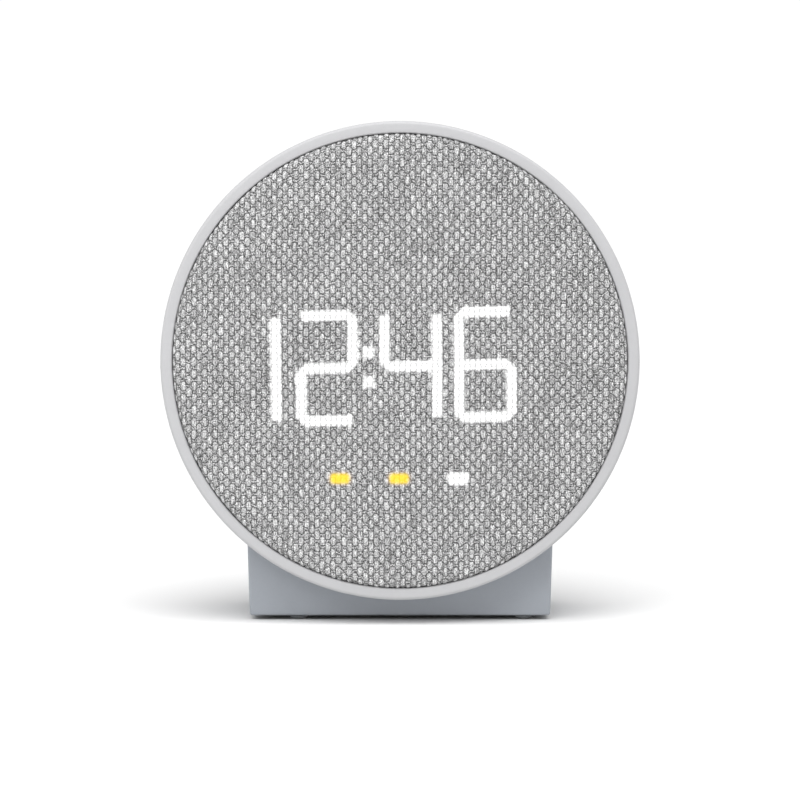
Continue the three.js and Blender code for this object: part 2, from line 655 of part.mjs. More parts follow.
function buzzerCase() {
  const radius = BUZZER.diameter / 2;
  const y = [coverLedgeY - BUZZER.height, coverLedgeY];
  const mouthY = [y[1] - BUZZER.height / 2, y[1] + CUT];
  const mouth = rodY(BUZZER.mouth / 2, mouthY, BUZZER.x, BUZZER.z, SMALL_SIDES);
  return rodY(radius, y, BUZZER.x, BUZZER.z).subtract(mouth);
}

function dimmerSwitch() {
  const { x, z } = DIMMER_PLACE;
  const y = [mainBoardY + GAP, switchTopY];
  const housing = block(span(x, DIMMER_BODY.length), y, span(z, DIMMER_BODY.height));
  const groove = block(
    span(x, DIMMER_SHAFT + 2 * (DIMMER_TRAVEL + GAP)),
    [switchTopY - PLUNGER_INSERT - GAP, switchTopY + CUT],
    span(z, DIMMER_SHAFT + 2 * GAP),
  );
  return housing.subtract(groove);
}

function dimmerKnob() {
  const { x, z } = DIMMER_PLACE;
  const shaftY = [switchTopY - PLUNGER_INSERT, coverInnerY];
  const shaft = block(span(x, DIMMER_SHAFT), shaftY, span(z, DIMMER_SHAFT));
  const capY = [coverInnerY - CUT, coverOuterY + BUTTON_PROUD];
  const cap = block(span(x, DIMMER_KNOB.length), capY, span(z, DIMMER_KNOB.height));
  return shaft.add(cap);
}

function batteryDrawer() {
  const y = [coverOuterY - trayLength, coverOuterY];
  const z = span(BATTERY_Z, trayThickness);
  const tray = block(span(0, trayWidth), y, z);
  const pocket = rodZ(holeOf(COIN.diameter), [z[0] + TRAY.floor, z[1] + CUT], 0, coinY());
  const nailZ = [z[1] - trayThickness / 3, z[1] + CUT];
  const nail = rodZ(trayWidth / 5, nailZ, 0, coverOuterY + trayWidth / 10);
  return tray.subtract(pocket).subtract(nail);
}

// The coin's pocket breaks out of the tray's inner end, so that the coin drops in and slides out.
const coinY = () => coverOuterY - trayLength + COIN.diameter / 2;

function coinCell() {
  const z0 = BATTERY_Z - trayThickness / 2 + TRAY.floor + GAP;
  return rodZ(COIN.diameter / 2, [z0, z0 + COIN.thickness], 0, coinY());
}

function batteryHolder() {
  const y = [coverOuterY - trayLength - GAP - HOLDER_WALL, coverLedgeY];
  const outer = block(span(0, trayWidth + 2 * (GAP + HOLDER_WALL)), y, holderZ());
  const slot = block(
    span(0, trayWidth + 2 * GAP),
    [y[0] + HOLDER_WALL, y[1] + CUT],
    span(BATTERY_Z, trayThickness + 2 * GAP),
  );
  return outer.subtract(slot);
}

const holderZ = () => span(BATTERY_Z, trayThickness + 2 * (GAP + HOLDER_WALL));

function batteryContact() {
  const z0 = holderZ()[1] + GAP;
  return block(span(0, CONTACT.width), span(coinY(), CONTACT.length), [z0, z0 + CONTACT.thickness]);
}

// ---- Snooze bar ----
const snoozeEndZ = () => Math.sqrt(innerRadius ** 2 - (SNOOZE_LENGTH / 2 + SNOOZE_FLANGE_REACH) ** 2);
const snoozeFlangeTop = () => snoozeEndZ() - GAP;
const snoozeStemEnd = () => snoozeFlangeTop() - FLANGE_THICKNESS - STEM_LENGTH;
const snoozeSwitchTop = () => snoozeStemEnd() - stemReach(SNOOZE_TRAVEL);

function snoozeBar() {
  const flangeZ = [snoozeFlangeTop() - FLANGE_THICKNESS, snoozeFlangeTop()];
  const bar = block(span(0, SNOOZE_LENGTH), span(snoozeY, SNOOZE_WIDTH), [flangeZ[0], drumRadius]);
  const crowned = bar.intersect(rodY(drumRadius, [rimY, backY], 0, 0, DRUM_SIDES));
  const flangeY = span(snoozeY, SNOOZE_WIDTH + SNOOZE_FLANGE_REACH);
  const flange = block(span(0, SNOOZE_LENGTH + 2 * SNOOZE_FLANGE_REACH), flangeY, flangeZ);
  const hollowZ = [flangeZ[0] - CUT, drumRadius - SNOOZE_SKIN - DRUM_WALL];
  const hollow = block(span(0, SNOOZE_LENGTH / 2), span(snoozeY, SNOOZE_WIDTH - 2 * DRUM_WALL), hollowZ);
  const stemZ = [snoozeStemEnd(), drumRadius - SNOOZE_SKIN];
  const stem = rodZ(STEM_DIAMETER / 2, stemZ, 0, snoozeY, SMALL_SIDES);
  return crowned.add(flange).subtract(hollow).add(stem);
}

function snoozeSwitch() {
  const top = snoozeSwitchTop();
  const boreFloor = top - PLUNGER_INSERT - SNOOZE_TRAVEL - GAP;
  const bore = rodZ(holeOf(PLUNGER_DIAMETER), [boreFloor, top + CUT], 0, snoozeY, SMALL_SIDES);
  const z = [top - SWITCH_HEIGHT, top];
  return block(span(0, SWITCH_SIZE), span(snoozeY, SWITCH_SIZE), z).subtract(bore);
}

function snoozePlunger() {
  const z = [snoozeSwitchTop() - PLUNGER_INSERT, snoozeStemEnd() - GAP];
  return rodZ(PLUNGER_DIAMETER / 2, z, 0, snoozeY, SMALL_SIDES);
}

function snoozeBoard() {
  const top = snoozeSwitchTop() - SWITCH_HEIGHT - GAP;
  const x = [-SNOOZE_BOARD_HALF_LENGTH, SNOOZE_BOARD_HALF_LENGTH];
  return block(x, span(snoozeY, SNOOZE_WIDTH), [top - BOARD_THICKNESS, top]);
}

// ---- Stand pieces, from the floor ----
// The stand's block drawn in by `inset` on its four sides, between two heights.
function standBlock(inset, [z0, z1]) {
  const halfWidth = STAND_WIDTH / 2 - inset;
  const [front, back] = [standFrontY + inset, standBackY - inset];
  const corner = Math.max(STAND_CORNER - inset, GAP);
  const shape = new THREE.Shape();
  shape.absarc(halfWidth - corner, front + corner, corner, -Math.PI / 2, 0);
  shape.absarc(halfWidth - corner, back - corner, corner, 0, Math.PI / 2);
  shape.absarc(corner - halfWidth, back - corner, corner, Math.PI / 2, Math.PI);
  shape.absarc(corner - halfWidth, front + corner, corner, Math.PI, 1.5 * Math.PI);
  const options = { depth: z1 - z0, bevelEnabled: false, curveSegments: FILLET_STEPS };
  const geometry = new THREE.ExtrudeGeometry(shape, options).translate(0, 0, z0);
  const place = geometry.attributes.position;
  for (let i = 0; i < place.count; i += 1) {
    const lean = (place.getZ(i) - FOOT_HEIGHT) * Math.tan(STAND_TAPER);
    place.setX(i, place.getX(i) + Math.sign(place.getX(i)) * lean);
  }
  return solid(geometry);
}

// A cylinder about the drum's axis that stops `beyond` behind the drum's back.
function saddleCylinder(radius, beyond) {
  return rodY(radius, [standFrontY - 2 * CUT, backY + beyond], 0, headZ, DRUM_SIDES);
}

const headScrewSeatZ = () => floorTopZ + GAP + HEAD_SCREW.headHeight;
const floorScrewY = () => saddleMiddleY - FLOOR_SCREW.fromMiddle;
const sides = (x) => [-x, x];

function padRegion(side, extra) {
  const x = widen([PAD.from, PAD.to], extra).map((value) => value * side).sort((a, b) => a - b);
  const y = widen([standFrontY + PAD.margin, backY - PAD.margin], extra);
  return block(x, y, [0, headZ]);
}

function standShell() {
  const outer = standBlock(0, [FOOT_HEIGHT, standTopZ]);
  const saddle = saddleCylinder(saddleRadius, SADDLE_CLEARANCE);
  const roof = saddleCylinder(saddleRadius + STAND_WALL, SADDLE_CLEARANCE + STAND_WALL);
  const hollow = standBlock(STAND_WALL, [FOOT_HEIGHT - CUT, standTopZ - STAND_WALL]).subtract(roof);
  const padSeats = [-1, 1].map((side) => {
    const depth = PAD.thickness + GAP;
    return saddleCylinder(saddleRadius + depth, SADDLE_CLEARANCE).intersect(padRegion(side, GAP));
  });
  const roofZ = (x) => headZ - Math.sqrt((saddleRadius + STAND_WALL / 2) ** 2 - x ** 2);
  const bosses = sides(FLOOR_SCREW.x).map((x) => {
    const z = [floorTopZ + GAP, roofZ(x)];
    return rodZ(SCREW.diameter / 2 + BOSS_WALL, z, x, floorScrewY()).subtract(saddle);
  });
  const pilots = sides(FLOOR_SCREW.x).map((x) => {
    const z = [floorTopZ, floorTopZ + FLOOR_SCREW.length];
    return rodZ(holeOf(SCREW.diameter), z, x, floorScrewY(), SMALL_SIDES);
  });
  const screwHoles = sides(HEAD_SCREW_X).flatMap((x) => [
    rodZ(holeOf(HEAD_SCREW.diameter), [floorTopZ, standTopZ], x, saddleMiddleY, SMALL_SIDES),
    rodZ(holeOf(HEAD_SCREW.head), [floorTopZ, headScrewSeatZ() + GAP], x, saddleMiddleY),
  ]);
  const shell = outer.subtract(saddle).subtract(hollow);
  return cutAll(unite([shell, ...bosses]), [...padSeats, ...pilots, ...screwHoles]);
}

function standFloor() {
  const plate = standBlock(STAND_WALL + GAP, [FOOT_HEIGHT, floorTopZ]);
  const screwHoles = sides(FLOOR_SCREW.x).flatMap((x) => [
    rodZ(holeOf(SCREW.diameter), [0, floorTopZ + CUT], x, floorScrewY(), SMALL_SIDES),
    rodZ(holeOf(SCREW.head), [0, FOOT_HEIGHT + SCREW.headHeight], x, floorScrewY()),
  ]);
  const footHoles = footPlaces().map(({ x, y }) => {
    return rodZ(holeOf(FOOT_STEM_DIAMETER), [0, floorTopZ + CUT], x, y, SMALL_SIDES);
  });
  return cutAll(plate, [...screwHoles, ...footHoles]);
}

function footPlaces() {
  const front = FRONT_FOOT_XS.map((x) => ({ x, y: standFrontY + FOOT_INSET }));
  const rear = REAR_FOOT_XS.map((x) => ({ x, y: standBackY - FOOT_INSET }));
  return [...front, ...rear];
}

function rubberFoot({ x, y }) {
  const profile = [
    [0, 0],
    [FOOT_FACE_DIAMETER / 2, 0],
    [FOOT_SHOULDER_DIAMETER / 2, (FOOT_HEIGHT - GAP) / 3],
    [FOOT_TOP_DIAMETER / 2, FOOT_HEIGHT - GAP],
    [FOOT_STEM_DIAMETER / 2, FOOT_HEIGHT - GAP],
    [FOOT_STEM_DIAMETER / 2, floorTopZ - GAP],
    [0, floorTopZ - GAP],
  ];
  return turnedZ(profile, x, y);
}

function ballastWeight() {
  const inset = STAND_WALL + 2 * GAP;
  const whole = standBlock(inset, [floorTopZ + GAP, FOOT_HEIGHT + BALLAST_TOP]);
  const roof = saddleCylinder(saddleRadius + STAND_WALL + GAP, SADDLE_CLEARANCE + STAND_WALL + GAP);
  const middle = block(
    [-BALLAST_INNER_X, BALLAST_INNER_X],
    [standFrontY, backY + SADDLE_CLEARANCE + STAND_WALL + GAP],
    [0, standTopZ],
  );
  return whole.subtract(roof).subtract(middle);
}

function saddlePad(side) {
  const bottom = saddleCylinder(saddleRadius + PAD.thickness, 0);
  const top = saddleCylinder(saddleRadius, SADDLE_CLEARANCE);
  return bottom.subtract(top).intersect(padRegion(side, 0));
}

// ---- Assembly ----
const clock = new THREE.Group();
const head = new THREE.Group();
const stand = new THREE.Group();
head.position.z = headZ;
clock.add(head, stand);

function place(group, name, body, makeMaterial) {
  const mesh = new THREE.Mesh(geometryOf(body), makeMaterial());
  mesh.name = name;
  group.add(mesh);
}

place(head, "drum_shell", drumShell(), rimPlastic);
place(head, "fabric_cover", fabricCover(), cloth);
place(head, "grille_carrier", grilleCarrier(), blackPlastic);
place(head, "display_window", displayWindow(), whitePlastic);
place(head, "segment_mask", segmentMask(), blackPlastic);
place(head, "segment_light_guide", segmentLightGuide(), lightGuidePlastic);
place(head, "indicator_light_guide", indicatorLightGuide(), lightGuidePlastic);
place(head, "led_board", ledBoard(), boardLaminate);
place(head, "main_board", mainBoard(), boardLaminate);
place(head, "ribbon_cable", ribbonCable(), ribbonPlastic);
place(head, "port_board", portBoard(), boardLaminate);
place(head, "usb_port", usbPort(), springSteel);
place(head, "dc_jack", dcJack(), blackPlastic);
place(head, "buzzer", buzzerCase(), blackPlastic);
place(head, "rear_cover", rearCover(), rimPlastic);
buttonXs().forEach((x, i) => {
  const { housing, plunger } = tactSwitchY(switchTopY, stemEndY, BUTTON_TRAVEL, x, BUTTON_ROW_Z);
  place(head, `${BUTTON_NAMES[i]}_button`, pressButton(x), buttonPlastic);
  place(head, `${BUTTON_NAMES[i]}_switch`, housing, blackPlastic);
  place(head, `${BUTTON_NAMES[i]}_plunger`, plunger, whitePlastic);
});
place(head, "snooze_bar", snoozeBar(), buttonPlastic);
place(head, "snooze_switch", snoozeSwitch(), blackPlastic);
place(head, "snooze_plunger", snoozePlunger(), whitePlastic);
place(head, "snooze_board", snoozeBoard(), boardLaminate);
place(head, "dimmer_switch", dimmerSwitch(), springSteel);
place(head, "dimmer_knob", dimmerKnob(), blackPlastic);
place(head, "battery_drawer", batteryDrawer(), rimPlastic);
place(head, "coin_cell", coinCell(), springSteel);
place(head, "battery_holder", batteryHolder(), blackPlastic);
place(head, "battery_contact", batteryContact(), springSteel);
coverScrewPlaces().forEach(([x, z], i) => {
  const screw = screwY(SCREW, COVER_SCREW_LENGTH, coverOuterY - SCREW.headHeight + GAP, -1, x, z);
  place(head, `cover_screw_${i + 1}`, screw, screwSteel);
});
boardPostPlaces().forEach(([x, z], i) => {
  const screw = screwY(SCREW, BOARD_SCREW_LENGTH, mainBoardY - BOARD_THICKNESS - GAP, 1, x, z);
  place(head, `board_screw_${i + 1}`, screw, screwSteel);
});

place(stand, "stand_shell", standShell(), standPlastic);
place(stand, "stand_floor", standFloor(), blackPlastic);
place(stand, "ballast_weight", ballastWeight(), castIron);
place(stand, "saddle_pad_left", saddlePad(-1), padRubber);
place(stand, "saddle_pad_right", saddlePad(1), padRubber);
sides(HEAD_SCREW_X).forEach((x, i) => {
  const seatZ = headScrewSeatZ();
  const length = headZ - innerRadius + HEAD_SCREW_REACH - BOSS_WALL - seatZ;
  const screw = screwZ(HEAD_SCREW, length, seatZ, x, saddleMiddleY);
  place(stand, `head_screw_${i + 1}`, screw, screwSteel);
});
sides(FLOOR_SCREW.x).forEach((x, i) => {
  const seatZ = FOOT_HEIGHT + SCREW.headHeight - GAP;
  const length = floorTopZ + FLOOR_SCREW.length - GAP - seatZ;
  place(stand, `floor_screw_${i + 1}`, screwZ(SCREW, length, seatZ, x, floorScrewY()), screwSteel);
});
footPlaces().forEach((spot, i) => {
  const name = ["foot_front_left", "foot_front_right", "foot_rear_left", "foot_rear_right"][i];
  place(stand, name, rubberFoot(spot), footRubber);
});

export default clock;
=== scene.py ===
"""A round fabric-faced alarm clock on a block stand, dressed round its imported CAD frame. Metres, +Z up."""
import json
import math

import bmesh
import bpy
import numpy as np
from mathutils import Matrix, Vector


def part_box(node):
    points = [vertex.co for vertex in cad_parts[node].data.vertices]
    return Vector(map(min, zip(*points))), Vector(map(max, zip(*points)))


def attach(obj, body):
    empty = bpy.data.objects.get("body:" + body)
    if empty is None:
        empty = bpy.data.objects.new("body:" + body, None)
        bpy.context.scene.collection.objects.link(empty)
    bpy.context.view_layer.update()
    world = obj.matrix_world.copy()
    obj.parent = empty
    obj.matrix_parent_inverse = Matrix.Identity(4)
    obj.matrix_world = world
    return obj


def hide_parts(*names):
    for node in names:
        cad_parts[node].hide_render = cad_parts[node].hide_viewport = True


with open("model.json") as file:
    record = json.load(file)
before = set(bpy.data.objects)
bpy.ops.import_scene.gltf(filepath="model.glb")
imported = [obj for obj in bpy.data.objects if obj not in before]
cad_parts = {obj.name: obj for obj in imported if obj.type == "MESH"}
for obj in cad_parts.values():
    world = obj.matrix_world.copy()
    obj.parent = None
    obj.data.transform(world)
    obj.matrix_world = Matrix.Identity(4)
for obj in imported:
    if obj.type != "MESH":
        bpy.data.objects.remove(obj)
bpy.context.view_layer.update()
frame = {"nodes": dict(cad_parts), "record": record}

MM = 0.001
TAU = 2 * math.pi


def span(node):
    """A CAD node's low corner, high corner and middle."""
    low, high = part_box(node)
    return low, high, (low + high) / 2


def middle_of(node):
    return span(node)[2]


# ---- Places taken from the frame ----
drum_low, drum_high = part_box("drum_shell")
fabric_low, fabric_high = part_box("fabric_cover")
cover_low, cover_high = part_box("rear_cover")
stand_low, stand_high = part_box("stand_shell")
DRUM_RADIUS = (drum_high.x - drum_low.x) / 2
AXIS_Z = (drum_low.z + drum_high.z) / 2
RIM_Y = drum_low.y
BACK_Y = drum_high.y
FABRIC_RADIUS = (fabric_high.x - fabric_low.x) / 2
FABRIC_Y = fabric_low.y
COVER_RADIUS = (cover_high.x - cover_low.x) / 2
COVER_RECESS = 0.9 * MM  # the cover's face below the drum's back edge
COVER_THICKNESS = 2.4 * MM
COVER_Y = BACK_Y - COVER_RECESS
COVER_INNER_Y = COVER_Y - COVER_THICKNESS
CREVICE = 0.3 * MM  # the gap seen between the cloth and the rim
SEAT_RADIUS = FABRIC_RADIUS + CREVICE
FIT = 0.3 * MM  # clearance between neighbouring parts


def link(obj):
    bpy.context.scene.collection.objects.link(obj)
    return obj


# ---- Camera ----
LENS_MM = 120
SENSOR_MM = 36
FRAME_PX = 800
METRES_PER_PX = 0.3125 * MM  # at the rim's face
SIGHT_PITCH = math.radians(3.0)  # line from the camera down to the drum's middle
DRUM_ABOVE_CENTRE_PX = 38.0


def add_camera():
    focal_px = FRAME_PX * LENS_MM / SENSOR_MM
    distance = focal_px * METRES_PER_PX
    target = Vector((0, RIM_Y, AXIS_Z))
    back = Vector((0, -math.cos(SIGHT_PITCH), math.sin(SIGHT_PITCH)))
    camera = link(bpy.data.objects.new("camera", bpy.data.cameras.new("camera")))
    camera.data.lens = LENS_MM
    camera.data.sensor_width = SENSOR_MM
    camera.location = target + back * distance
    pitch = SIGHT_PITCH + math.atan(DRUM_ABOVE_CENTRE_PX / focal_px)
    camera.rotation_euler = (math.pi / 2 - pitch, 0, 0)
    bpy.context.scene.camera = camera


# ---- Node graphs ----
def set_range(node, *limits):
    """Gives a Map Range node its low and high input and its low and high output."""
    for name, number in zip(("From Min", "From Max", "To Min", "To Max"), limits):
        node.inputs[name].default_value = number


class Graph:
    """A material's nodes, with a short call for each kind that the materials here use."""

    def __init__(self, name):
        self.material = bpy.data.materials.new(name)
        self.material.use_nodes = True
        self.tree = self.material.node_tree
        self.shader = self.tree.nodes["Principled BSDF"]

    def feed(self, socket, value):
        if isinstance(value, bpy.types.NodeSocket):
            self.tree.links.new(value, socket)
        else:
            socket.default_value = value

    def set(self, **values):
        for name, value in values.items():
            self.feed(self.shader.inputs[name.replace("_", " ")], value)

    def math(self, operation, a, b=0.0):
        node = self.tree.nodes.new("ShaderNodeMath")
        node.operation = operation
        self.feed(node.inputs[0], a)
        self.feed(node.inputs[1], b)
        return node.outputs[0]

    def plus(self, a, b):
        return self.math("ADD", a, b)

    def minus(self, a, b):
        return self.math("SUBTRACT", a, b)

    def times(self, a, b):
        return self.math("MULTIPLY", a, b)

    def object_place(self):
        return self.tree.nodes.new("ShaderNodeTexCoord").outputs["Object"]

    def scaled(self, vector, factors):
        node = self.tree.nodes.new("ShaderNodeVectorMath")
        node.operation = "MULTIPLY"
        self.feed(node.inputs[0], vector)
        node.inputs[1].default_value = factors
        return node.outputs[0]

    def vector(self, x, y, z=0.0):
        node = self.tree.nodes.new("ShaderNodeCombineXYZ")
        for socket, value in zip(node.inputs, (x, y, z)):
            self.feed(socket, value)
        return node.outputs[0]

    def noise(self, vector, scale, detail=3.0, roughness=0.6):
        node = self.tree.nodes.new("ShaderNodeTexNoise")
        self.feed(node.inputs["Vector"], vector)
        node.inputs["Scale"].default_value = scale
        node.inputs["Detail"].default_value = detail
        node.inputs["Roughness"].default_value = roughness
        return node.outputs["Fac"]

    def random(self, vector):
        node = self.tree.nodes.new("ShaderNodeTexWhiteNoise")
        self.feed(node.inputs["Vector"], vector)
        return node.outputs["Value"]

    def cells(self, vector, scale):
        node = self.tree.nodes.new("ShaderNodeTexVoronoi")
        self.feed(node.inputs["Vector"], vector)
        node.inputs["Scale"].default_value = scale
        return node.outputs["Distance"]

    def remap(self, value, low, high, to_low=0.0, to_high=1.0, smooth=False):
        node = self.tree.nodes.new("ShaderNodeMapRange")
        node.interpolation_type = "SMOOTHSTEP" if smooth else "LINEAR"
        self.feed(node.inputs["Value"], value)
        set_range(node, low, high, to_low, to_high)
        return node.outputs["Result"]

    def blend(self, factor, a, b):
        """A number between a and b."""
        node = self.tree.nodes.new("ShaderNodeMix")
        self.feed(node.inputs["Factor"], factor)
        self.feed(node.inputs[2], a)
        self.feed(node.inputs[3], b)
        return node.outputs[0]

    def tint(self, factor, a, b, mode="MIX"):
        """A colour between a and b."""
        node = self.tree.nodes.new("ShaderNodeMix")
        node.data_type = "RGBA"
        node.blend_type = mode
        self.feed(node.inputs["Factor"], factor)
        self.feed(node.inputs[6], a)
        self.feed(node.inputs[7], b)
        return node.outputs[2]

    def bump(self, height, distance, strength=1.0):
        node = self.tree.nodes.new("ShaderNodeBump")
        node.inputs["Strength"].default_value = strength
        node.inputs["Distance"].default_value = distance
        self.feed(node.inputs["Height"], height)
        return node.outputs["Normal"]

    def attribute(self, name, output="Fac"):
        node = self.tree.nodes.new("ShaderNodeAttribute")
        node.attribute_name = name
        return node.outputs[output]


BLACK, WHITE = (0, 0, 0, 1), (1, 1, 1, 1)


def shade(color, factor):
    return tuple(channel * factor for channel in color) + (1.0,)


# ---- Materials ----
def moulded_plastic(name, color, roughness, variation):
    """Spark-textured plastic: a fine even grain, a faint cloudiness and a roughness that varies a little."""
    graph = Graph(name)
    place = graph.object_place()
    grain = graph.noise(place, 1 / (0.35 * MM), 2.0)
    cloud = graph.noise(place, 1 / (28 * MM), 3.0)
    speck = graph.noise(place, 1 / (1.1 * MM), 2.0)
    tone = graph.plus(graph.times(cloud, 0.7), graph.times(speck, 0.3))
    tone = graph.remap(tone, 0.3, 0.7)
    graph.set(
        Base_Color=graph.tint(tone, shade(color, 1 - variation), shade(color, 1 + variation)),
        Roughness=graph.remap(grain, 0.3, 0.7, roughness - 0.05, roughness + 0.05),
        Normal=graph.bump(grain, 0.02 * MM),
        Specular_IOR_Level=0.4,
    )
    return graph.material


def rubber(name, color):
    graph = Graph(name)
    place = graph.object_place()
    dust = graph.noise(place, 1 / (0.5 * MM), 4.0)
    graph.set(
        Base_Color=graph.tint(graph.remap(dust, 0.35, 0.65), shade(color, 0.85), shade(color, 1.2)),
        Roughness=graph.remap(dust, 0.3, 0.7, 0.7, 0.88),
        Normal=graph.bump(dust, 0.03 * MM),
        Specular_IOR_Level=0.3,
    )
    return graph.material


def metal(name, color, roughness, along=(1, 1, 1)):
    """Plated or brushed metal: streaks along the axis with the small factor."""
    graph = Graph(name)
    streaks = graph.noise(graph.scaled(graph.object_place(), along), 1 / (0.25 * MM), 4.0)
    stain = graph.noise(graph.object_place(), 1 / (3 * MM), 3.0)
    graph.set(
        Base_Color=graph.tint(graph.remap(stain, 0.35, 0.65), shade(color, 0.9), shade(color, 1.05)),
        Roughness=graph.remap(streaks, 0.3, 0.7, roughness - 0.08, roughness + 0.1),
        Normal=graph.bump(streaks, 0.008 * MM),
        Metallic=1.0,
    )
    return graph.material


def cast_metal(name, color):
    graph = Graph(name)
    pits = graph.cells(graph.object_place(), 1 / (1.2 * MM))
    graph.set(
        Base_Color=graph.tint(graph.remap(pits, 0.1, 0.6), shade(color, 0.7), shade(color, 1.2)),
        Roughness=graph.remap(pits, 0.0, 0.7, 0.75, 0.55),
        Normal=graph.bump(pits, 0.1 * MM),
        Metallic=0.8,
    )
    return graph.material


def board_laminate(name):
    """Solder mask over copper: blocky lighter traces on a green ground."""
    graph = Graph(name)
    place = graph.object_place()
    traces = graph.math("LESS_THAN", graph.cells(graph.scaled(place, (1.0, 1.0, 0.35)), 1 / (3 * MM)), 0.32)
    weave = graph.noise(place, 1 / (0.4 * MM), 2.0)
    ground = graph.tint(traces, (0.012, 0.09, 0.045, 1.0), (0.03, 0.19, 0.085, 1.0))
    graph.set(
        Base_Color=graph.tint(0.12, ground, graph.tint(weave, BLACK, WHITE)),
        Roughness=graph.remap(weave, 0.3, 0.7, 0.3, 0.42),
        Normal=graph.bump(traces, 0.03 * MM),
    )
    return graph.material


def frosted_guide(name):
    graph = Graph(name)
    haze = graph.noise(graph.object_place(), 1 / (0.6 * MM), 3.0)
    graph.set(
        Base_Color=graph.tint(haze, (0.86, 0.88, 0.9, 1), (0.97, 0.98, 1.0, 1)),
        Roughness=graph.remap(haze, 0.3, 0.7, 0.2, 0.35),
        Normal=graph.bump(haze, 0.01 * MM),
        Specular_IOR_Level=0.5,
    )
    return graph.material


# ---- Woven cloth ----
WARP_PITCH = 1.67 * MM  # from one upright yarn to the next
FLOAT_PITCH = 3.76 * MM  # from one warp bump to the next on the same yarn, which is two weft rows
WARP_HALF = 0.46  # half width of a warp bump, in warp pitches
FLOAT_HALF = 0.375  # half height of a warp bump, in float pitches
BUMP_POWER = 4.0  # how square a warp bump is: 2 is an ellipse
WEFT_REACH = 0.56  # half width of the weft seen between two bumps, in warp pitches
WEFT_HALF = 0.16  # half height of it, in float pitches
WEFT_LIFT = 0.55  # its height, as a share of a warp bump's
GLOW_STRENGTH = 0.82
AMBER_HALO = (0.85, 0.55, 0.3, 1)
AMBER_CORE = (1.16, 0.88, 0.05, 1)


class Weave:
    """Where each point of the cloth lies in the weave: 0 at a bump's middle and 1 at its edge."""

    def __init__(self, graph):
        self.graph = graph
        threads = graph.tree.nodes.new("ShaderNodeSeparateXYZ")
        graph.feed(threads.inputs[0], graph.attribute("threads", "Vector"))
        self.u, self.v = threads.outputs[0], threads.outputs[1]
        self.column = graph.math("FLOOR", self.u)
        across = self.off_middle(self.u, self.column)
        shift = graph.times(graph.math("FLOORED_MODULO", self.column, 2.0), 0.5)
        shifted = graph.plus(self.v, shift)
        self.row = graph.math("FLOOR", shifted)
        along = self.off_middle(shifted, self.row)
        self.warp = self.bump(across, WARP_HALF, along, FLOAT_HALF, BUMP_POWER)
        self.weft = self.bump(across, WEFT_REACH, graph.minus(0.5, along), WEFT_HALF, 2.0)
        self.warp_mask = graph.remap(self.warp, 1.1, 0.75, smooth=True)
        self.weft_mask = graph.remap(self.weft, 1.15, 0.6, smooth=True)

    def off_middle(self, place, whole):
        part = self.graph.minus(place, whole)
        return self.graph.math("ABSOLUTE", self.graph.minus(part, 0.5))

    def bump(self, across, half_width, along, half_height, power):
        sides = ((across, half_width), (along, half_height))
        shares = [self.graph.math("POWER", self.graph.math("DIVIDE", a, half), power) for a, half in sides]
        return self.graph.plus(*shares)

    def noise(self, across_scale, along_scale, layer, detail, roughness=0.6):
        graph = self.graph
        place = graph.vector(graph.times(self.u, across_scale), graph.times(self.v, along_scale), layer)
        return graph.noise(place, 1.0, detail, roughness)

    def inside(self, bump):
        """How far inside a bump's edge, 1 at its middle and 0 outside."""
        return self.graph.math("MAXIMUM", self.graph.minus(1.0, bump), 0.0)

    def height(self, grain):
        dome = self.graph.math("SQRT", self.inside(self.warp))
        weft_dome = self.graph.math("SQRT", self.inside(self.weft))
        height = self.graph.math("MAXIMUM", dome, self.graph.times(weft_dome, WEFT_LIFT))
        return self.graph.plus(height, self.graph.times(grain, 0.9))


def swing(graph, noise_value, amount):
    """A noise value spread to either side of zero."""
    return graph.remap(noise_value, 0.3, 0.7, -amount, amount)


def cloth_lightness(graph, weave, grain, fray):
    """Light and dark fibres in each bump, with a painted highlight toward its middle, a frayed line of
    painted shade round it, and the speckled weft between, darkened as painted shade.
    """
    chance = graph.random(graph.vector(weave.column, weave.row, 1.0))
    bump_tone = graph.times(graph.minus(chance, 0.5), 0.1)
    yarn_tone = swing(graph, weave.noise(1.0, 0.35, 0.0, 2.0), 0.06)
    streaks = swing(graph, weave.noise(5.5, 2.6, graph.times(weave.row, 7.3), 3.0, 0.7), 0.27)
    patch = swing(graph, weave.noise(0.11, 0.24, 5.0, 3.0), 0.06)
    warp_light = graph.plus(graph.plus(0.36, bump_tone), graph.plus(yarn_tone, streaks))
    # painted highlight: each warp bump is made lighter toward its middle
    warp_light = graph.plus(warp_light, graph.times(weave.inside(weave.warp), 0.09))
    # painted shade: the weft seen between the bumps is given a darker tone than the warp
    shaded_weft_light = graph.plus(0.3, swing(graph, grain, 0.3))
    light = graph.blend(weave.warp_mask, shaded_weft_light, warp_light)
    # painted shade: a dark line in the crease round each warp bump, broken up by the fray noise
    off_edge = graph.math("ABSOLUTE", graph.minus(weave.warp, 1.1))
    outline = graph.remap(off_edge, 0.7, 0.0, 0.0, 0.93, smooth=True)
    outline = graph.times(outline, graph.remap(fray, 0.35, 0.6, 0.45, 1.0))
    light = graph.times(light, graph.minus(1.0, outline))
    unevenness = graph.plus(swing(graph, grain, 0.8), patch)
    light = graph.times(light, graph.plus(1.0, unevenness))
    light = graph.math("POWER", graph.math("MAXIMUM", light, 0.02), 1.3)
    return graph.math("MINIMUM", graph.times(light, 1.14), 0.8)


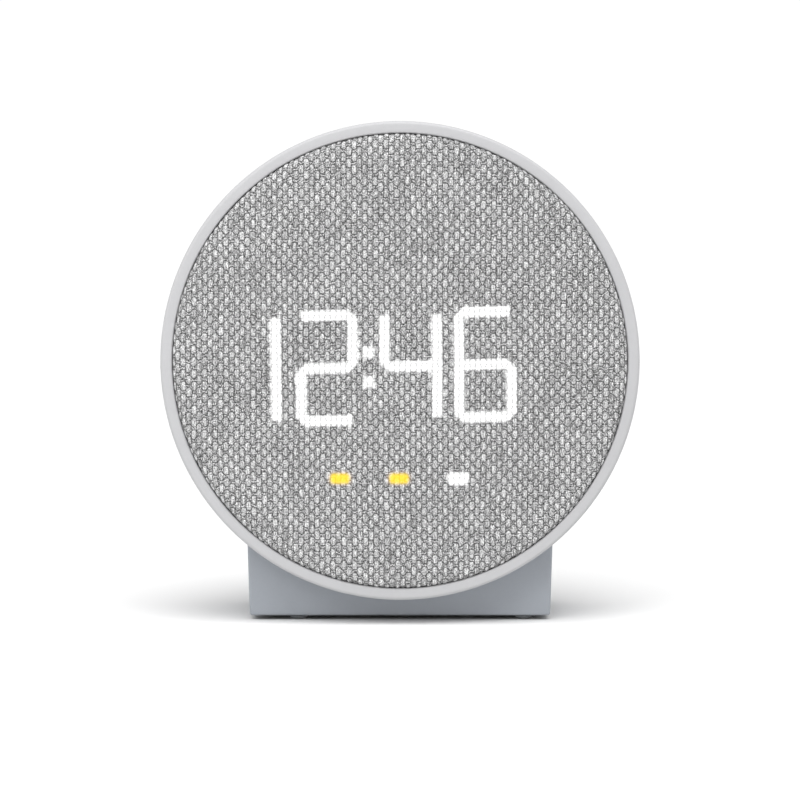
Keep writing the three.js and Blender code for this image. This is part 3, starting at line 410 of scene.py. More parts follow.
def light_through(graph, weave, amber, fray):
    """The glow seen through the cloth: brighter on the yarns, feathered at its edges."""
    glow = graph.attribute("glow")
    feather = graph.times(swing(graph, fray, 0.3), graph.minus(1.0, glow))
    feathered = graph.times(graph.plus(glow, feather), graph.remap(glow, 0.0, 0.15))
    thread_light = graph.blend(graph.math("MAXIMUM", weave.warp_mask, weave.weft_mask), 0.62, 1.0)
    white = graph.tint(graph.times(feathered, thread_light), BLACK, WHITE)
    tone = graph.tint(graph.remap(amber, 0.3, 0.85, smooth=True), AMBER_HALO, AMBER_CORE)
    strength = graph.times(graph.math("POWER", amber, 1.5), graph.math("SQRT", thread_light))
    return graph.tint(1.0, white, graph.tint(strength, BLACK, tone), "ADD")


def woven_cloth():
    """Heather-grey plain weave. The mesh carries thread coordinates, and the lit shapes behind the cloth."""
    graph = Graph("heather_weave")
    weave = Weave(graph)
    grain = weave.noise(4.6, 10.0, 3.0, 2.0)
    fray = weave.noise(4.1, 8.7, 9.0, 2.0)
    light = cloth_lightness(graph, weave, grain, fray)
    amber = graph.attribute("amber")
    cloth = graph.tint(light, BLACK, (1.0, 1.0, 1.004, 1))
    graph.set(
        # painted light: the cloth's colour turns dark brown where the amber light shines through it
        Base_Color=graph.tint(graph.remap(amber, 0.45, 1.0, 0.0, 0.9), cloth, (0.2, 0.1, 0.0, 1)),
        Normal=graph.bump(weave.height(grain), 0.16 * MM, 0.7),
        Emission_Color=light_through(graph, weave, amber, fray),
        Emission_Strength=GLOW_STRENGTH, Roughness=0.9, Specular_IOR_Level=0.2,
        Sheen_Weight=0.15, Sheen_Roughness=0.5,
    )
    return graph.material


# ---- A material for each of the frame's slots ----
PLASTICS = {  # colour, roughness and how much the colour varies
    "rim_plastic": ((0.425, 0.425, 0.434), 0.48, 0.03),
    "button_plastic": ((0.44, 0.445, 0.46), 0.42, 0.03),
    "stand_plastic": ((0.305, 0.325, 0.355), 0.55, 0.03),
    "black_plastic": ((0.02, 0.02, 0.022), 0.5, 0.12),
    "white_plastic": ((0.8, 0.8, 0.79), 0.45, 0.03),
    "ribbon_plastic": ((0.72, 0.7, 0.62), 0.4, 0.03),
}
materials = {name: moulded_plastic(name, *look) for name, look in PLASTICS.items()}
materials |= {
    "face_fabric": woven_cloth(),
    "foot_rubber": rubber("foot_rubber", (0.16, 0.165, 0.17)),
    "pad_rubber": rubber("pad_rubber", (0.03, 0.03, 0.032)),
    "bright_steel": metal("bright_steel", (0.62, 0.63, 0.65), 0.3, (1, 1, 0.15)),
    "screw_steel": metal("screw_steel", (0.36, 0.37, 0.39), 0.34),
    "cast_iron": cast_metal("cast_iron", (0.1, 0.1, 0.105)),
    "light_guide": frosted_guide("light_guide"),
    "board_laminate": board_laminate("board_laminate"),
}


# ---- Mesh helpers ----
def mesh_object(name, vertices, faces, sharp_degrees=35, closed=True):
    mesh = bpy.data.meshes.new(name)
    mesh.from_pydata([tuple(v) for v in vertices], [], faces)
    mesh.validate()
    obj = link(bpy.data.objects.new(name, mesh))
    if closed:
        face_out(obj)
    smooth(obj, sharp_degrees)
    return obj


def smooth(obj, sharp_degrees=35):
    obj.data.shade_smooth()
    obj.data.set_sharp_from_angle(angle=math.radians(sharp_degrees))


def turned(name, profile, centre, axis="Y", sides=96, sharp_degrees=35):
    """A profile of (radius, height) points turned about an axis. It closes on itself or on the axis."""
    vertices, rings = [], []
    for radius, height in profile:
        count = 1 if radius < 1e-9 else sides
        rings.append(range(len(vertices), len(vertices) + count))
        for i in range(count):
            turn = TAU * i / sides
            x, z = radius * math.sin(turn), radius * math.cos(turn)
            vertices.append((x, height, z) if axis == "Y" else (z, x, height))
    faces = []
    closed = profile[0][0] > 1e-9
    for a, b in zip(rings, rings[1:] + (rings[:1] if closed else [])):
        for i in range(sides):
            j = (i + 1) % sides
            loop = [a[i % len(a)], b[i % len(b)], b[j % len(b)], a[j % len(a)]]
            faces.append(list(dict.fromkeys(loop)))
    return mesh_object(name, [Vector(v) + Vector(centre) for v in vertices], faces, sharp_degrees)


def face_out(obj):
    shape = bmesh.new()
    shape.from_mesh(obj.data)
    bmesh.ops.recalc_face_normals(shape, faces=shape.faces)
    shape.to_mesh(obj.data)
    shape.free()


def prism(name, outline, low, high, axis="Y"):
    """An outline of points, extruded between two places along an axis. Along Y the points are (x, z)."""
    place = {"Y": lambda p, t: (p[0], t, p[1]), "Z": lambda p, t: (p[0], p[1], t)}[axis]
    count = len(outline)
    vertices = [place(p, low) for p in outline] + [place(p, high) for p in outline]
    sides = [[i, (i + 1) % count, count + (i + 1) % count, count + i] for i in range(count)]
    return mesh_object(name, vertices, [list(range(count)), list(range(count, 2 * count)), *sides])


def rounded_outline(centre, size, radius, steps=6):
    cx, cy = centre
    hx, hy = size[0] / 2 - radius, size[1] / 2 - radius
    points = []
    for corner, (sx, sy) in enumerate(((1, 1), (-1, 1), (-1, -1), (1, -1))):
        for i in range(steps + 1):
            turn = math.pi / 2 * (corner + i / steps)
            points.append((cx + sx * hx + radius * math.cos(turn), cy + sy * hy + radius * math.sin(turn)))
    return points


def outline_of(node, corner, gap=FIT):
    """A CAD node's outline as seen from behind, with rounded corners and a gap all round."""
    low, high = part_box(node)
    size = (high.x - low.x + 2 * gap, high.z - low.z + 2 * gap)
    return rounded_outline(((low.x + high.x) / 2, (low.z + high.z) / 2), size, corner)


def circle_outline(centre, radius, sides=64):
    turns = [TAU * i / sides for i in range(sides)]
    return [(centre[0] + radius * math.cos(t), centre[1] + radius * math.sin(t)) for t in turns]


def arc(centre, radius, start, end, steps=6):
    """Points (r, h) of an arc, angles in degrees."""
    turns = [math.radians(start + (end - start) * i / steps) for i in range(steps + 1)]
    return [(centre[0] + radius * math.cos(t), centre[1] + radius * math.sin(t)) for t in turns]


def settle(obj):
    """Applies obj's modifiers to its mesh."""
    graph = bpy.context.evaluated_depsgraph_get()
    mesh = bpy.data.meshes.new_from_object(obj.evaluated_get(graph))
    obj.modifiers.clear()
    obj.data = mesh


def combine(obj, others, operation):
    for other in others:
        modifier = obj.modifiers.new("boolean", "BOOLEAN")
        modifier.operation = operation
        modifier.solver = "EXACT"
        modifier.object = other
        settle(obj)
        bpy.data.objects.remove(other)


def cut(obj, cutters):
    combine(obj, cutters, "DIFFERENCE")


def soften(obj, width, segments):
    """Rounds the edges sharper than 40 degrees, and shades the result smooth."""
    modifier = obj.modifiers.new("bevel", "BEVEL")
    modifier.width = width
    modifier.segments = segments
    modifier.limit_method = "ANGLE"
    modifier.angle_limit = math.radians(40)
    settle(obj)
    smooth(obj, 60)
    return obj


def refined(name, node, width):
    """A copy of a CAD node with its triangles joined into flat faces and its edges rounded."""
    obj = link(bpy.data.objects.new(name, frame["nodes"][node].data.copy()))
    shape = bmesh.new()
    shape.from_mesh(obj.data)
    bmesh.ops.remove_doubles(shape, verts=shape.verts, dist=1e-6)
    bmesh.ops.dissolve_limit(shape, angle_limit=math.radians(1), verts=shape.verts, edges=shape.edges)
    shape.to_mesh(obj.data)
    shape.free()
    return soften(obj, width, 2)


def join(name, pieces):
    """One mesh from several."""
    shape = bmesh.new()
    for piece in pieces:
        shape.from_mesh(piece.data)
    mesh = bpy.data.meshes.new(name)
    shape.to_mesh(mesh)
    shape.free()
    for piece in pieces:
        bpy.data.objects.remove(piece)
    return link(bpy.data.objects.new(name, mesh))


def dress(obj, slot, node, body="clock_body"):
    """Gives a piece its slot's material, hides the CAD node it stands for and hangs it on the body it rides
    on.
    """
    obj.data.materials.clear()
    obj.data.materials.append(materials[slot])
    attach(obj, body)
    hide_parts(node)


# ---- The lit shapes behind the cloth ----
BASELINE_ROLL = math.radians(1.4)
STROKE_LEAN = math.radians(0.6)
SEGMENT_WIDTH = 3.2 * MM
SEGMENT_BREAK = 0.8 * MM
FREE_BEVEL = 0.9 * MM
JOINED_BEVEL = 0.3 * MM
DIGIT_WIDTH = 16.3 * MM
DIGIT_HEIGHT = 32.9 * MM
DIGITS = [  # each digit's middle and lit segments; the first is a half digit
    (-36.8 * MM - DIGIT_WIDTH / 2, "bc"), (-20.8 * MM, "abged"), (5.4 * MM, "fgbc"), (28.6 * MM, "afgecd"),
]
SEGMENT_ENDS = {  # both ends of each segment, in digit widths and heights from the digit's middle
    "a": ((-0.5, 0.5), (0.5, 0.5)), "g": ((-0.5, 0), (0.5, 0)), "d": ((-0.5, -0.5), (0.5, -0.5)),
    "f": ((-0.5, 0.5), (-0.5, 0)), "e": ((-0.5, 0), (-0.5, -0.5)),
    "b": ((0.5, 0.5), (0.5, 0)), "c": ((0.5, 0), (0.5, -0.5)),
}
COLON_X = -7.8 * MM
COLON_SPACING = 9.3 * MM
COLON_SIZE = 3.4 * MM
INDICATOR_SIZE = (6.8 * MM, 3.9 * MM)
INDICATOR_INSET = 3.1 * MM  # from an end of the light guide to the middle of its outer light
INDICATOR_CORNER = 1.6 * MM
INDICATOR_RISE = 0.5 * MM  # above the guide's middle
GLOW_EDGE = 0.45 * MM  # half the distance over which a lit shape fades out
COLON_EDGE = 1.6 * GLOW_EDGE
AMBER_EDGE = 1.3 * MM


def ramp(distance, edge=GLOW_EDGE):
    """Smooth step from 1 inside a shape to 0 outside it."""
    t = np.clip(0.5 - distance / (2 * edge), 0, 1)
    return t * t * (3 - 2 * t)


def box_distance(x, z, half_x, half_z):
    """Distance outside a rectangle about the origin, negative within it."""
    return np.maximum(np.abs(x) - half_x, np.abs(z) - half_z)


def digit_glow(x, z):
    """How brightly the digits and colon light each point of the cloth, 0 to 1."""
    middle = middle_of("segment_mask")
    x, z = x - middle.x, z - middle.z
    x, z = x + z * math.tan(STROKE_LEAN), z - x * math.tan(BASELINE_ROLL)
    glow = np.zeros_like(x)
    for digit_x, letters in DIGITS:
        ends = [end for letter in letters for end in SEGMENT_ENDS[letter]]
        for letter in letters:
            start, end = SEGMENT_ENDS[letter]
            across, up = (start[0] + end[0]) / 2, (start[1] + end[1]) / 2
            upright = start[0] == end[0]
            dx, dz = x - digit_x - across * DIGIT_WIDTH, z - up * DIGIT_HEIGHT
            along, beside = (-dz, np.abs(dx)) if upright else (dx, np.abs(dz))
            half_length = (DIGIT_HEIGHT / 2 if upright else DIGIT_WIDTH) / 2
            distance = beside - SEGMENT_WIDTH / 2
            for place, way in ((start, -1), (end, 1)):
                joined = ends.count(place) > 1
                past = way * along - half_length
                bevel = JOINED_BEVEL if joined else FREE_BEVEL
                distance = np.maximum(distance, (past + beside - bevel) * math.sqrt(0.5))
                if not joined:
                    distance = np.maximum(distance, past + SEGMENT_BREAK / 2)
            glow = np.maximum(glow, ramp(distance))
        for pair, across in (("bc", 0.5), ("fe", -0.5)):
            if set(pair) <= set(letters):
                dx = x - digit_x - across * DIGIT_WIDTH
                glow = np.maximum(glow, ramp(box_distance(dx, z, SEGMENT_WIDTH / 2, SEGMENT_WIDTH)))
    for side in (-1, 1):
        distance = box_distance(x - COLON_X, z - side * COLON_SPACING / 2, COLON_SIZE / 2, COLON_SIZE / 2)
        glow = np.maximum(glow, ramp(distance, COLON_EDGE))
    return glow


def indicator_glow(x, z):
    """The white light's and the amber lights' brightness on each point of the cloth."""
    low, high, middle = span("indicator_light_guide")
    half_x, half_z = (side / 2 - INDICATOR_CORNER for side in INDICATOR_SIZE)
    above = np.maximum(np.abs(z - middle.z - INDICATOR_RISE) - half_z, 0)
    distances = []
    for place in (low.x + INDICATOR_INSET, middle.x, high.x - INDICATOR_INSET):
        beside = np.maximum(np.abs(x - place) - half_x, 0)
        distances.append(np.hypot(beside, above) - INDICATOR_CORNER)
    left, centre, right = distances
    return ramp(right), ramp(np.minimum(left, centre), AMBER_EDGE)


# ---- Fabric face ----
FABRIC_EDGE = 1.8 * MM  # radius of the cloth's rounded edge
FABRIC_SKIRT = 2.5 * MM  # the straight part behind that edge
RELIEF = 0.42 * MM  # how far the warp bumps stand above the deepest gaps
COLUMN_STEPS = 4
FLOAT_STEPS = 8
THREAD_WANDER = 0.16 * MM


def weave_height(u, v):
    """Height of the cloth at thread coordinates, 1 on a warp bump's crown and 0 in the gaps."""
    column = np.floor(u)
    across = np.abs(u - column - 0.5)
    shifted = v + 0.5 * np.mod(column, 2)
    along = np.abs(shifted - np.floor(shifted) - 0.5)
    warp = 1 - (across / WARP_HALF) ** BUMP_POWER - (along / FLOAT_HALF) ** BUMP_POWER
    weft = 1 - (across / WEFT_REACH) ** 2 - ((0.5 - along) / WEFT_HALF) ** 2
    return np.maximum(np.sqrt(np.maximum(warp, 0)), WEFT_LIFT * np.sqrt(np.maximum(weft, 0)))


def wander(x, z):
    """Slow sideways drift of the yarns, from a few sine waves."""
    dx = np.sin(x / (9.1 * MM) + 1.7 * np.sin(z / (13.3 * MM))) + 0.6 * np.sin(z / (5.3 * MM) + x / (21 * MM))
    dz = np.sin(z / (11.7 * MM) + 1.3 * np.sin(x / (8.9 * MM) + 2.0)) + 0.5 * np.sin(x / (4.7 * MM) + 1.1)
    return THREAD_WANDER * dx, THREAD_WANDER * dz


def thread_grid(reach):
    """Places of a grid of points in a disc, in step with the threads, and the square faces between them."""
    column_step, row_step = WARP_PITCH / COLUMN_STEPS, FLOAT_PITCH / FLOAT_STEPS
    columns, rows = int(reach / column_step) + 2, int(reach / row_step) + 2
    xs, zs = np.arange(-columns, columns + 1) * column_step, np.arange(-rows, rows + 1) * row_step
    grid_x, grid_z = np.meshgrid(xs, zs, indexing="ij")
    inside = np.hypot(grid_x, grid_z) <= reach
    cell = inside[:-1, :-1] | inside[1:, :-1] | inside[1:, 1:] | inside[:-1, 1:]
    used = np.zeros_like(inside)
    for di in (0, 1):
        for dj in (0, 1):
            used[di:di + cell.shape[0], dj:dj + cell.shape[1]] |= cell
    index = np.cumsum(used.ravel()).reshape(used.shape) - 1
    i, j = np.nonzero(cell)
    faces = np.stack([index[i, j], index[i + 1, j], index[i + 1, j + 1], index[i, j + 1]], axis=1)
    return grid_x[used], grid_z[used], faces


def draped(x, z, flat_radius, reach, height):
    """The flat cloth's points laid over the carrier: across it, round its edge, then straight back."""
    length = np.hypot(x, z)
    pull = np.minimum(1, reach / np.maximum(length, 1e-9))
    length = length * pull
    turn_x, turn_z = x * pull / np.maximum(length, 1e-9), z * pull / np.maximum(length, 1e-9)
    bend = np.clip((length - flat_radius) / FABRIC_EDGE, 0, math.pi / 2)
    past = np.maximum(length - flat_radius - FABRIC_EDGE * math.pi / 2, 0)
    radius = np.minimum(length, flat_radius) + FABRIC_EDGE * np.sin(bend)
    depth = FABRIC_EDGE * (1 - np.cos(bend)) + past
    sink = RELIEF * (1 - height)
    radius = radius - sink * np.sin(bend)
    y = FABRIC_Y + depth + sink * np.cos(bend)
    return np.stack([radius * turn_x, y, AXIS_Z + radius * turn_z], axis=1)


def fabric_face():
    flat_radius = FABRIC_RADIUS - FABRIC_EDGE
    reach = flat_radius + FABRIC_EDGE * math.pi / 2 + FABRIC_SKIRT
    x, z, faces = thread_grid(reach)
    u, v = x / WARP_PITCH, z / FLOAT_PITCH
    dx, dz = wander(x, z)
    vertices = draped(x + dx, z + dz, flat_radius, reach, weave_height(u, v))
    obj = mesh_object("fabric_weave", vertices, faces.tolist(), 180, closed=False)
    glow = digit_glow(vertices[:, 0], vertices[:, 2])
    white, amber = indicator_glow(vertices[:, 0], vertices[:, 2])
    add_attribute(obj, "threads", "FLOAT_VECTOR", "vector", np.stack([u, v, 0 * u], axis=1))
    add_attribute(obj, "glow", "FLOAT", "value", np.maximum(glow, white))
    add_attribute(obj, "amber", "FLOAT", "value", amber)
    dress(obj, "face_fabric", "fabric_cover")


def add_attribute(obj, name, kind, field, values):
    layer = obj.data.attributes.new(name, kind, "POINT")
    layer.data.foreach_set(field, np.ascontiguousarray(values, np.float32).ravel())


# ---- Drum ----
RIM_FILLET = 1.1 * MM
BACK_FILLET = 3 * MM
INNER_FILLET = 0.25 * MM
SEAT_GAP = 0.12 * MM  # between the cloth and the wall below the crevice
CREVICE_DEPTH = 0.45 * MM
SEAT_DEPTH = 7 * MM
LEDGE_WIDTH = 3.5 * MM
LEDGE_THICKNESS = 2.4 * MM
DRUM_WALL = 3 * MM
DRUM_SIDES = 256


def drum():
    cover_seat = COVER_RADIUS + FIT
    ledge_y = COVER_INNER_Y - FIT
    inner = DRUM_RADIUS - DRUM_WALL
    seat = FABRIC_RADIUS + SEAT_GAP
    profile = [
        (seat, RIM_Y + SEAT_DEPTH),
        (seat, RIM_Y + CREVICE_DEPTH),
        (SEAT_RADIUS, RIM_Y + CREVICE_DEPTH),
        *arc((SEAT_RADIUS + INNER_FILLET, RIM_Y + INNER_FILLET), INNER_FILLET, 180, 270, 4),
        *arc((DRUM_RADIUS - RIM_FILLET, RIM_Y + RIM_FILLET), RIM_FILLET, -90, 0, 8),
        *arc((DRUM_RADIUS - BACK_FILLET, BACK_Y - BACK_FILLET), BACK_FILLET, 0, 90, 10),
        *arc((cover_seat + INNER_FILLET, BACK_Y - INNER_FILLET), INNER_FILLET, 90, 180, 4),
        (cover_seat, ledge_y),
        (cover_seat - LEDGE_WIDTH, ledge_y),
        (cover_seat - LEDGE_WIDTH, ledge_y - LEDGE_THICKNESS),
        (inner, ledge_y - LEDGE_THICKNESS - LEDGE_WIDTH),
        (inner, RIM_Y + SEAT_DEPTH + LEDGE_THICKNESS),
        (SEAT_RADIUS - LEDGE_WIDTH, RIM_Y + SEAT_DEPTH + LEDGE_THICKNESS),
        (SEAT_RADIUS - LEDGE_WIDTH, RIM_Y + SEAT_DEPTH),
    ]
    obj = turned("drum_body", profile, (0, 0, AXIS_Z), sides=DRUM_SIDES)
    size = tuple(side + 2 * FIT for side in SNOOZE_SIZE)
    opening = rounded_outline((0, middle_of("snooze_bar").y), size, SNOOZE_CORNER + FIT)
    opening_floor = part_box("snooze_plunger")[1].z
    cut(obj, [prism("cutter", opening, opening_floor, drum_high.z + 5 * MM, "Z")])
    smooth(obj)
    dress(obj, "rim_plastic", "drum_shell")


# ---- Snooze bar ----
SNOOZE_SIZE = (46 * MM, 16 * MM)
SNOOZE_CORNER = 1.6 * MM
SNOOZE_EDGE = 0.7 * MM  # radius of its rounded upper edge
SNOOZE_SKIRT = 3 * MM  # how far its sides follow the crown's curve
SNOOZE_BASE = 2 * MM  # its flat underside, above the lowest point of the CAD bar
LEAST_CORNER = 0.04 * MM
LONG_STEPS, SHORT_STEPS, CORNER_STEPS = 28, 8, 5


def snooze_key():
    """The flush bar: nested outlines that follow the drum's curve, with a rounded edge."""
    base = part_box("snooze_bar")[0].z + SNOOZE_BASE
    middle_y = middle_of("snooze_bar").y
    half_x, half_y = (side / 2 for side in SNOOZE_SIZE)
    insets = [0, 0, 0] + [SNOOZE_EDGE * (1 - math.cos(math.radians(t))) for t in (15, 30, 45, 60, 75, 90)]
    rings, vertices = [], []
    for level, inset in enumerate(insets):
        outline = long_outline(half_x - inset, half_y - inset, max(SNOOZE_CORNER - inset, LEAST_CORNER))
        left = SNOOZE_EDGE - min(inset, SNOOZE_EDGE)
        fall = SNOOZE_EDGE - math.sqrt(max(0, SNOOZE_EDGE ** 2 - left ** 2))
        rings.append(range(len(vertices), len(vertices) + len(outline)))
        for px, py in outline:
            crown = AXIS_Z + math.sqrt(DRUM_RADIUS ** 2 - px ** 2)
            z = base if level == 0 else crown - (SNOOZE_SKIRT if level == 1 else fall)
            vertices.append((px, middle_y + py, z))
    faces = []
    for a, b in zip(rings, rings[1:]):
        count = len(a)
        faces += [[a[i], a[(i + 1) % count], b[(i + 1) % count], b[i]] for i in range(count)]
    faces += [list(reversed(rings[0])), *crown_faces(rings[-1][0])]
    obj = mesh_object("snooze_key", vertices, faces, 50)
    dress(obj, "button_plastic", "snooze_bar", "snooze")


def crown_faces(first):
    """Strips across the bar's top, between the matching points of its two long sides."""
    count = 2 * (LONG_STEPS + SHORT_STEPS + 2 * CORNER_STEPS)
    far_end = count // 2

    def across(i):
        return (SHORT_STEPS - i) % count

    strips = [[i, i + 1, across(i + 1), across(i)] for i in range(SHORT_STEPS + 1, far_end - 1)]
    near = [*range(SHORT_STEPS + 2), count - 1]
    far = list(range(far_end - 1, far_end + SHORT_STEPS + 2))
    return [[first + i for i in face] for face in (near, *strips, far)]


def long_outline(half_x, half_y, radius):
    """A rounded rectangle with points all along its sides, so that it can follow a curved surface."""
    points = []
    sides = [((1, -1), (1, 1), SHORT_STEPS), ((1, 1), (-1, 1), LONG_STEPS),
             ((-1, 1), (-1, -1), SHORT_STEPS), ((-1, -1), (1, -1), LONG_STEPS)]
    inner_x, inner_y = half_x - radius, half_y - radius
    for number, (start, end, steps) in enumerate(sides):
        turn = math.pi / 2 * number
        out_x, out_y = math.cos(turn) * radius, math.sin(turn) * radius
        first = (start[0] * inner_x + out_x, start[1] * inner_y + out_y)
        last = (end[0] * inner_x + out_x, end[1] * inner_y + out_y)
        for i in range(steps):
            points.append(tuple(p + (q - p) * i / steps for p, q in zip(first, last)))
        corner = (end[0] * inner_x, end[1] * inner_y)
        for i in range(CORNER_STEPS):
            swing = turn + math.pi / 2 * i / CORNER_STEPS
            points.append((corner[0] + radius * math.cos(swing), corner[1] + radius * math.sin(swing)))
    return points


# ---- Rear cover and what is on it ----
BUTTONS = ["time", "alarm_one", "alarm_two", "minus", "plus"]
BUTTON_RADIUS = 4.5 * MM
INLET_RADIUS = 4.2 * MM
KNOB_SLOT_LENGTH = 9.6 * MM
COVER_EDGE = 0.4 * MM
SOUND_SLOTS = 5
SLOT_PITCH = 2.8 * MM
SLOT_WIDTH = 1.3 * MM
HEAD_THICKNESS = 1.3 * MM  # of a screw's head
SHANK_HOLE = 1.5 * MM
HEAD_HOLE = 2.8 * MM
HOLE_BEVEL = 0.3 * MM


def rear_panel():
    inner = COVER_RADIUS - COVER_EDGE
    profile = [
        (0, COVER_INNER_Y), (inner, COVER_INNER_Y), (COVER_RADIUS, COVER_INNER_Y + COVER_EDGE),
        *arc((inner, COVER_Y - COVER_EDGE), COVER_EDGE, 0, 90, 4), (0, COVER_Y),
    ]
    obj = turned("rear_panel", profile, (0, 0, AXIS_Z), sides=192)
    below, above = COVER_INNER_Y - 2 * MM, COVER_Y + 2 * MM
    outlines = [
        *(round_hole(name + "_plunger", BUTTON_RADIUS) for name in BUTTONS), knob_slot(),
        outline_of("usb_port", 0.5 * MM), round_hole("dc_jack", INLET_RADIUS),
        outline_of("battery_drawer", 0.8 * MM), *sound_slots(),
    ]
    cutters = [prism("cutter", outline, below, above) for outline in outlines]
    cutters += [screw_hole(f"cover_screw_{i}", below, above) for i in range(1, 5)]
    cut(obj, [join("cutters", cutters)])
    smooth(obj)
    dress(obj, "rim_plastic", "rear_cover")


def round_hole(node, radius):
    place = middle_of(node)
    return circle_outline((place.x, place.z), radius + FIT)


def knob_slot():
    low, high, place = span("dimmer_knob")
    return rounded_outline((place.x, place.z), (KNOB_SLOT_LENGTH, high.z - low.z + 2 * FIT), 0.6 * MM)


def sound_slots():
    low, high, centre = span("buzzer")
    radius = (high.x - low.x) / 2
    slots = []
    for i in range(SOUND_SLOTS):
        offset = (i - SOUND_SLOTS // 2) * SLOT_PITCH
        half = math.sqrt(radius ** 2 - offset ** 2) - SLOT_WIDTH
        slots.append(rounded_outline((centre.x, centre.z + offset), (2 * half, SLOT_WIDTH), 0.64 * MM))
    return slots


def screw_hole(node, below, above):
    """A stepped hole for a screw's shank and head, with a bevelled mouth."""
    place, seat, mouth = middle_of(node), COVER_Y - HEAD_THICKNESS, HEAD_HOLE + HOLE_BEVEL
    profile = [
        (0, below), (SHANK_HOLE, below), (SHANK_HOLE, seat), (HEAD_HOLE, seat),
        (HEAD_HOLE, COVER_Y - HOLE_BEVEL), (mouth, COVER_Y + 0.01 * MM), (mouth, above), (0, above),
    ]
    return turned("cutter", profile, (place.x, 0, place.z), sides=48)


# ---- Buttons ----
CAP_EDGE = 0.5 * MM
DISH_DEPTH = 0.35 * MM
DISH_STEPS = 5
PLUNGER_RADIUS = 2 * MM
FLANGE_RADIUS = 5.8 * MM
MARK_SINK = 0.2 * MM  # how far a mark's base lies below the dish
MARK_HEIGHT = 0.3 * MM
MARK_LENGTH, MARK_WIDTH = 3.4 * MM, 0.7 * MM
DOTS = {"alarm_one": [0], "alarm_two": [-1.1 * MM, 1.1 * MM]}
BARS = {"minus": [(MARK_LENGTH, MARK_WIDTH)], "plus": [(MARK_LENGTH, MARK_WIDTH), (MARK_WIDTH, MARK_LENGTH)]}


def push_button(name):
    """A dished round cap with a raised mark."""
    low, high, place = span(name + "_button")
    flange_y = COVER_INNER_Y - FIT
    surface = high.y - DISH_DEPTH
    steps = [i / DISH_STEPS for i in range(DISH_STEPS + 1)]
    dish = [(BUTTON_RADIUS * 0.75 * t, surface + DISH_DEPTH * t ** 2) for t in steps]
    profile = [
        (0, low.y), (PLUNGER_RADIUS, low.y), (PLUNGER_RADIUS, flange_y - MM), (FLANGE_RADIUS, flange_y - MM),
        (FLANGE_RADIUS, flange_y), (BUTTON_RADIUS, flange_y),
        *arc((BUTTON_RADIUS - CAP_EDGE, high.y - CAP_EDGE), CAP_EDGE, 0, 90, 6), *reversed(dish),
    ]
    cap = turned(name + "_cap", profile, (place.x, 0, place.z), sides=64)
    combine(cap, marks_of(name, place, surface), "UNION")
    smooth(cap)
    dress(cap, "button_plastic", name + "_button", name + "_key")


def marks_of(name, place, surface):
    """A ring for the time, one dot or two for the alarms, a bar or a cross for minus and plus."""
    if name == "time":
        return [ring_mark(place, surface)]
    dots = [dot_mark(place, surface, offset) for offset in DOTS.get(name, [])]
    return dots + [bar_mark(place, surface, size) for size in BARS.get(name, [])]


def ring_mark(place, surface):
    inner, outer, bevel = 1.2 * MM, 1.75 * MM, 0.15 * MM
    base, top = surface - MARK_SINK, surface + MARK_HEIGHT
    shoulder = top - 0.1 * MM
    profile = [(inner, base), (outer, base), (outer, shoulder),
               (outer - bevel, top), (inner + bevel, top), (inner, shoulder)]
    return turned("mark", profile, (place.x, 0, place.z), sides=48)


def dot_mark(place, surface, offset):
    radius, base = 0.6 * MM, surface - MARK_SINK
    profile = [(0, base), (radius, base), (radius, surface + 0.1 * MM),
               (0.7 * radius, surface + 0.27 * MM), (0, surface + 0.33 * MM)]
    return turned("mark", profile, (place.x + offset, 0, place.z), sides=32)


def bar_mark(place, surface, size):
    outline = rounded_outline((place.x, place.z), size, 0.34 * MM, 4)
    return prism("mark", outline, surface - MARK_SINK, surface + MARK_HEIGHT)


# ---- Knob, sockets and battery ----
RIDGES = 9  # ridges and grooves across the knob, by turns
GROOVE_DEPTH = 0.45 * MM
KNOB_STEM = 2.4 * MM
INLET_BORE = 3.15 * MM
INLET_PIN = 1.0 * MM
TRAY_CORNER = 0.6 * MM
CELL_EDGE = 0.35 * MM
CELL_STEP = 0.1 * MM  # the raised face on the cell's underside


def slide_knob():
    """A ridged slider cap on its shaft."""
    low, high, shaft = span("dimmer_knob")
    ridge = (high.x - low.x) / RIDGES
    edge = []
    for i in range(RIDGES):
        depth = high.y - (GROOVE_DEPTH if i % 2 else 0)
        edge += [(low.x + i * ridge, depth), (low.x + (i + 1) * ridge, depth)]
    outline = [(low.x, COVER_INNER_Y - MM), (high.x, COVER_INNER_Y - MM), *reversed(edge)]
    cap = prism("slide_knob", outline, low.z, high.z, "Z")
    stem_outline = rounded_outline((shaft.x, shaft.z), (KNOB_STEM, KNOB_STEM), 0.2 * MM)
    combine(cap, [prism("stem", stem_outline, low.y, COVER_INNER_Y)], "UNION")
    soften(cap, 0.12 * MM, 2)
    dress(cap, "black_plastic", "dimmer_knob", "dimmer")


def power_inlet():
    low, high, place = span("dc_jack")
    floor_y, tip_y, tip_edge, edge = low.y + 2 * MM, high.y - MM, 0.4 * MM, 0.3 * MM
    profile = [
        (0, tip_y), *arc((INLET_PIN - tip_edge, tip_y - tip_edge), tip_edge, 90, 0, 4), (INLET_PIN, floor_y),
        (INLET_BORE, floor_y), *arc((INLET_BORE + edge, high.y - edge), edge, 180, 90, 4),
        *arc((INLET_RADIUS - edge, high.y - edge), edge, 90, 0, 4), (INLET_RADIUS, low.y), (0, low.y),
    ]
    obj = turned("power_inlet", profile, (place.x, 0, place.z), sides=72)
    dress(obj, "black_plastic", "dc_jack")


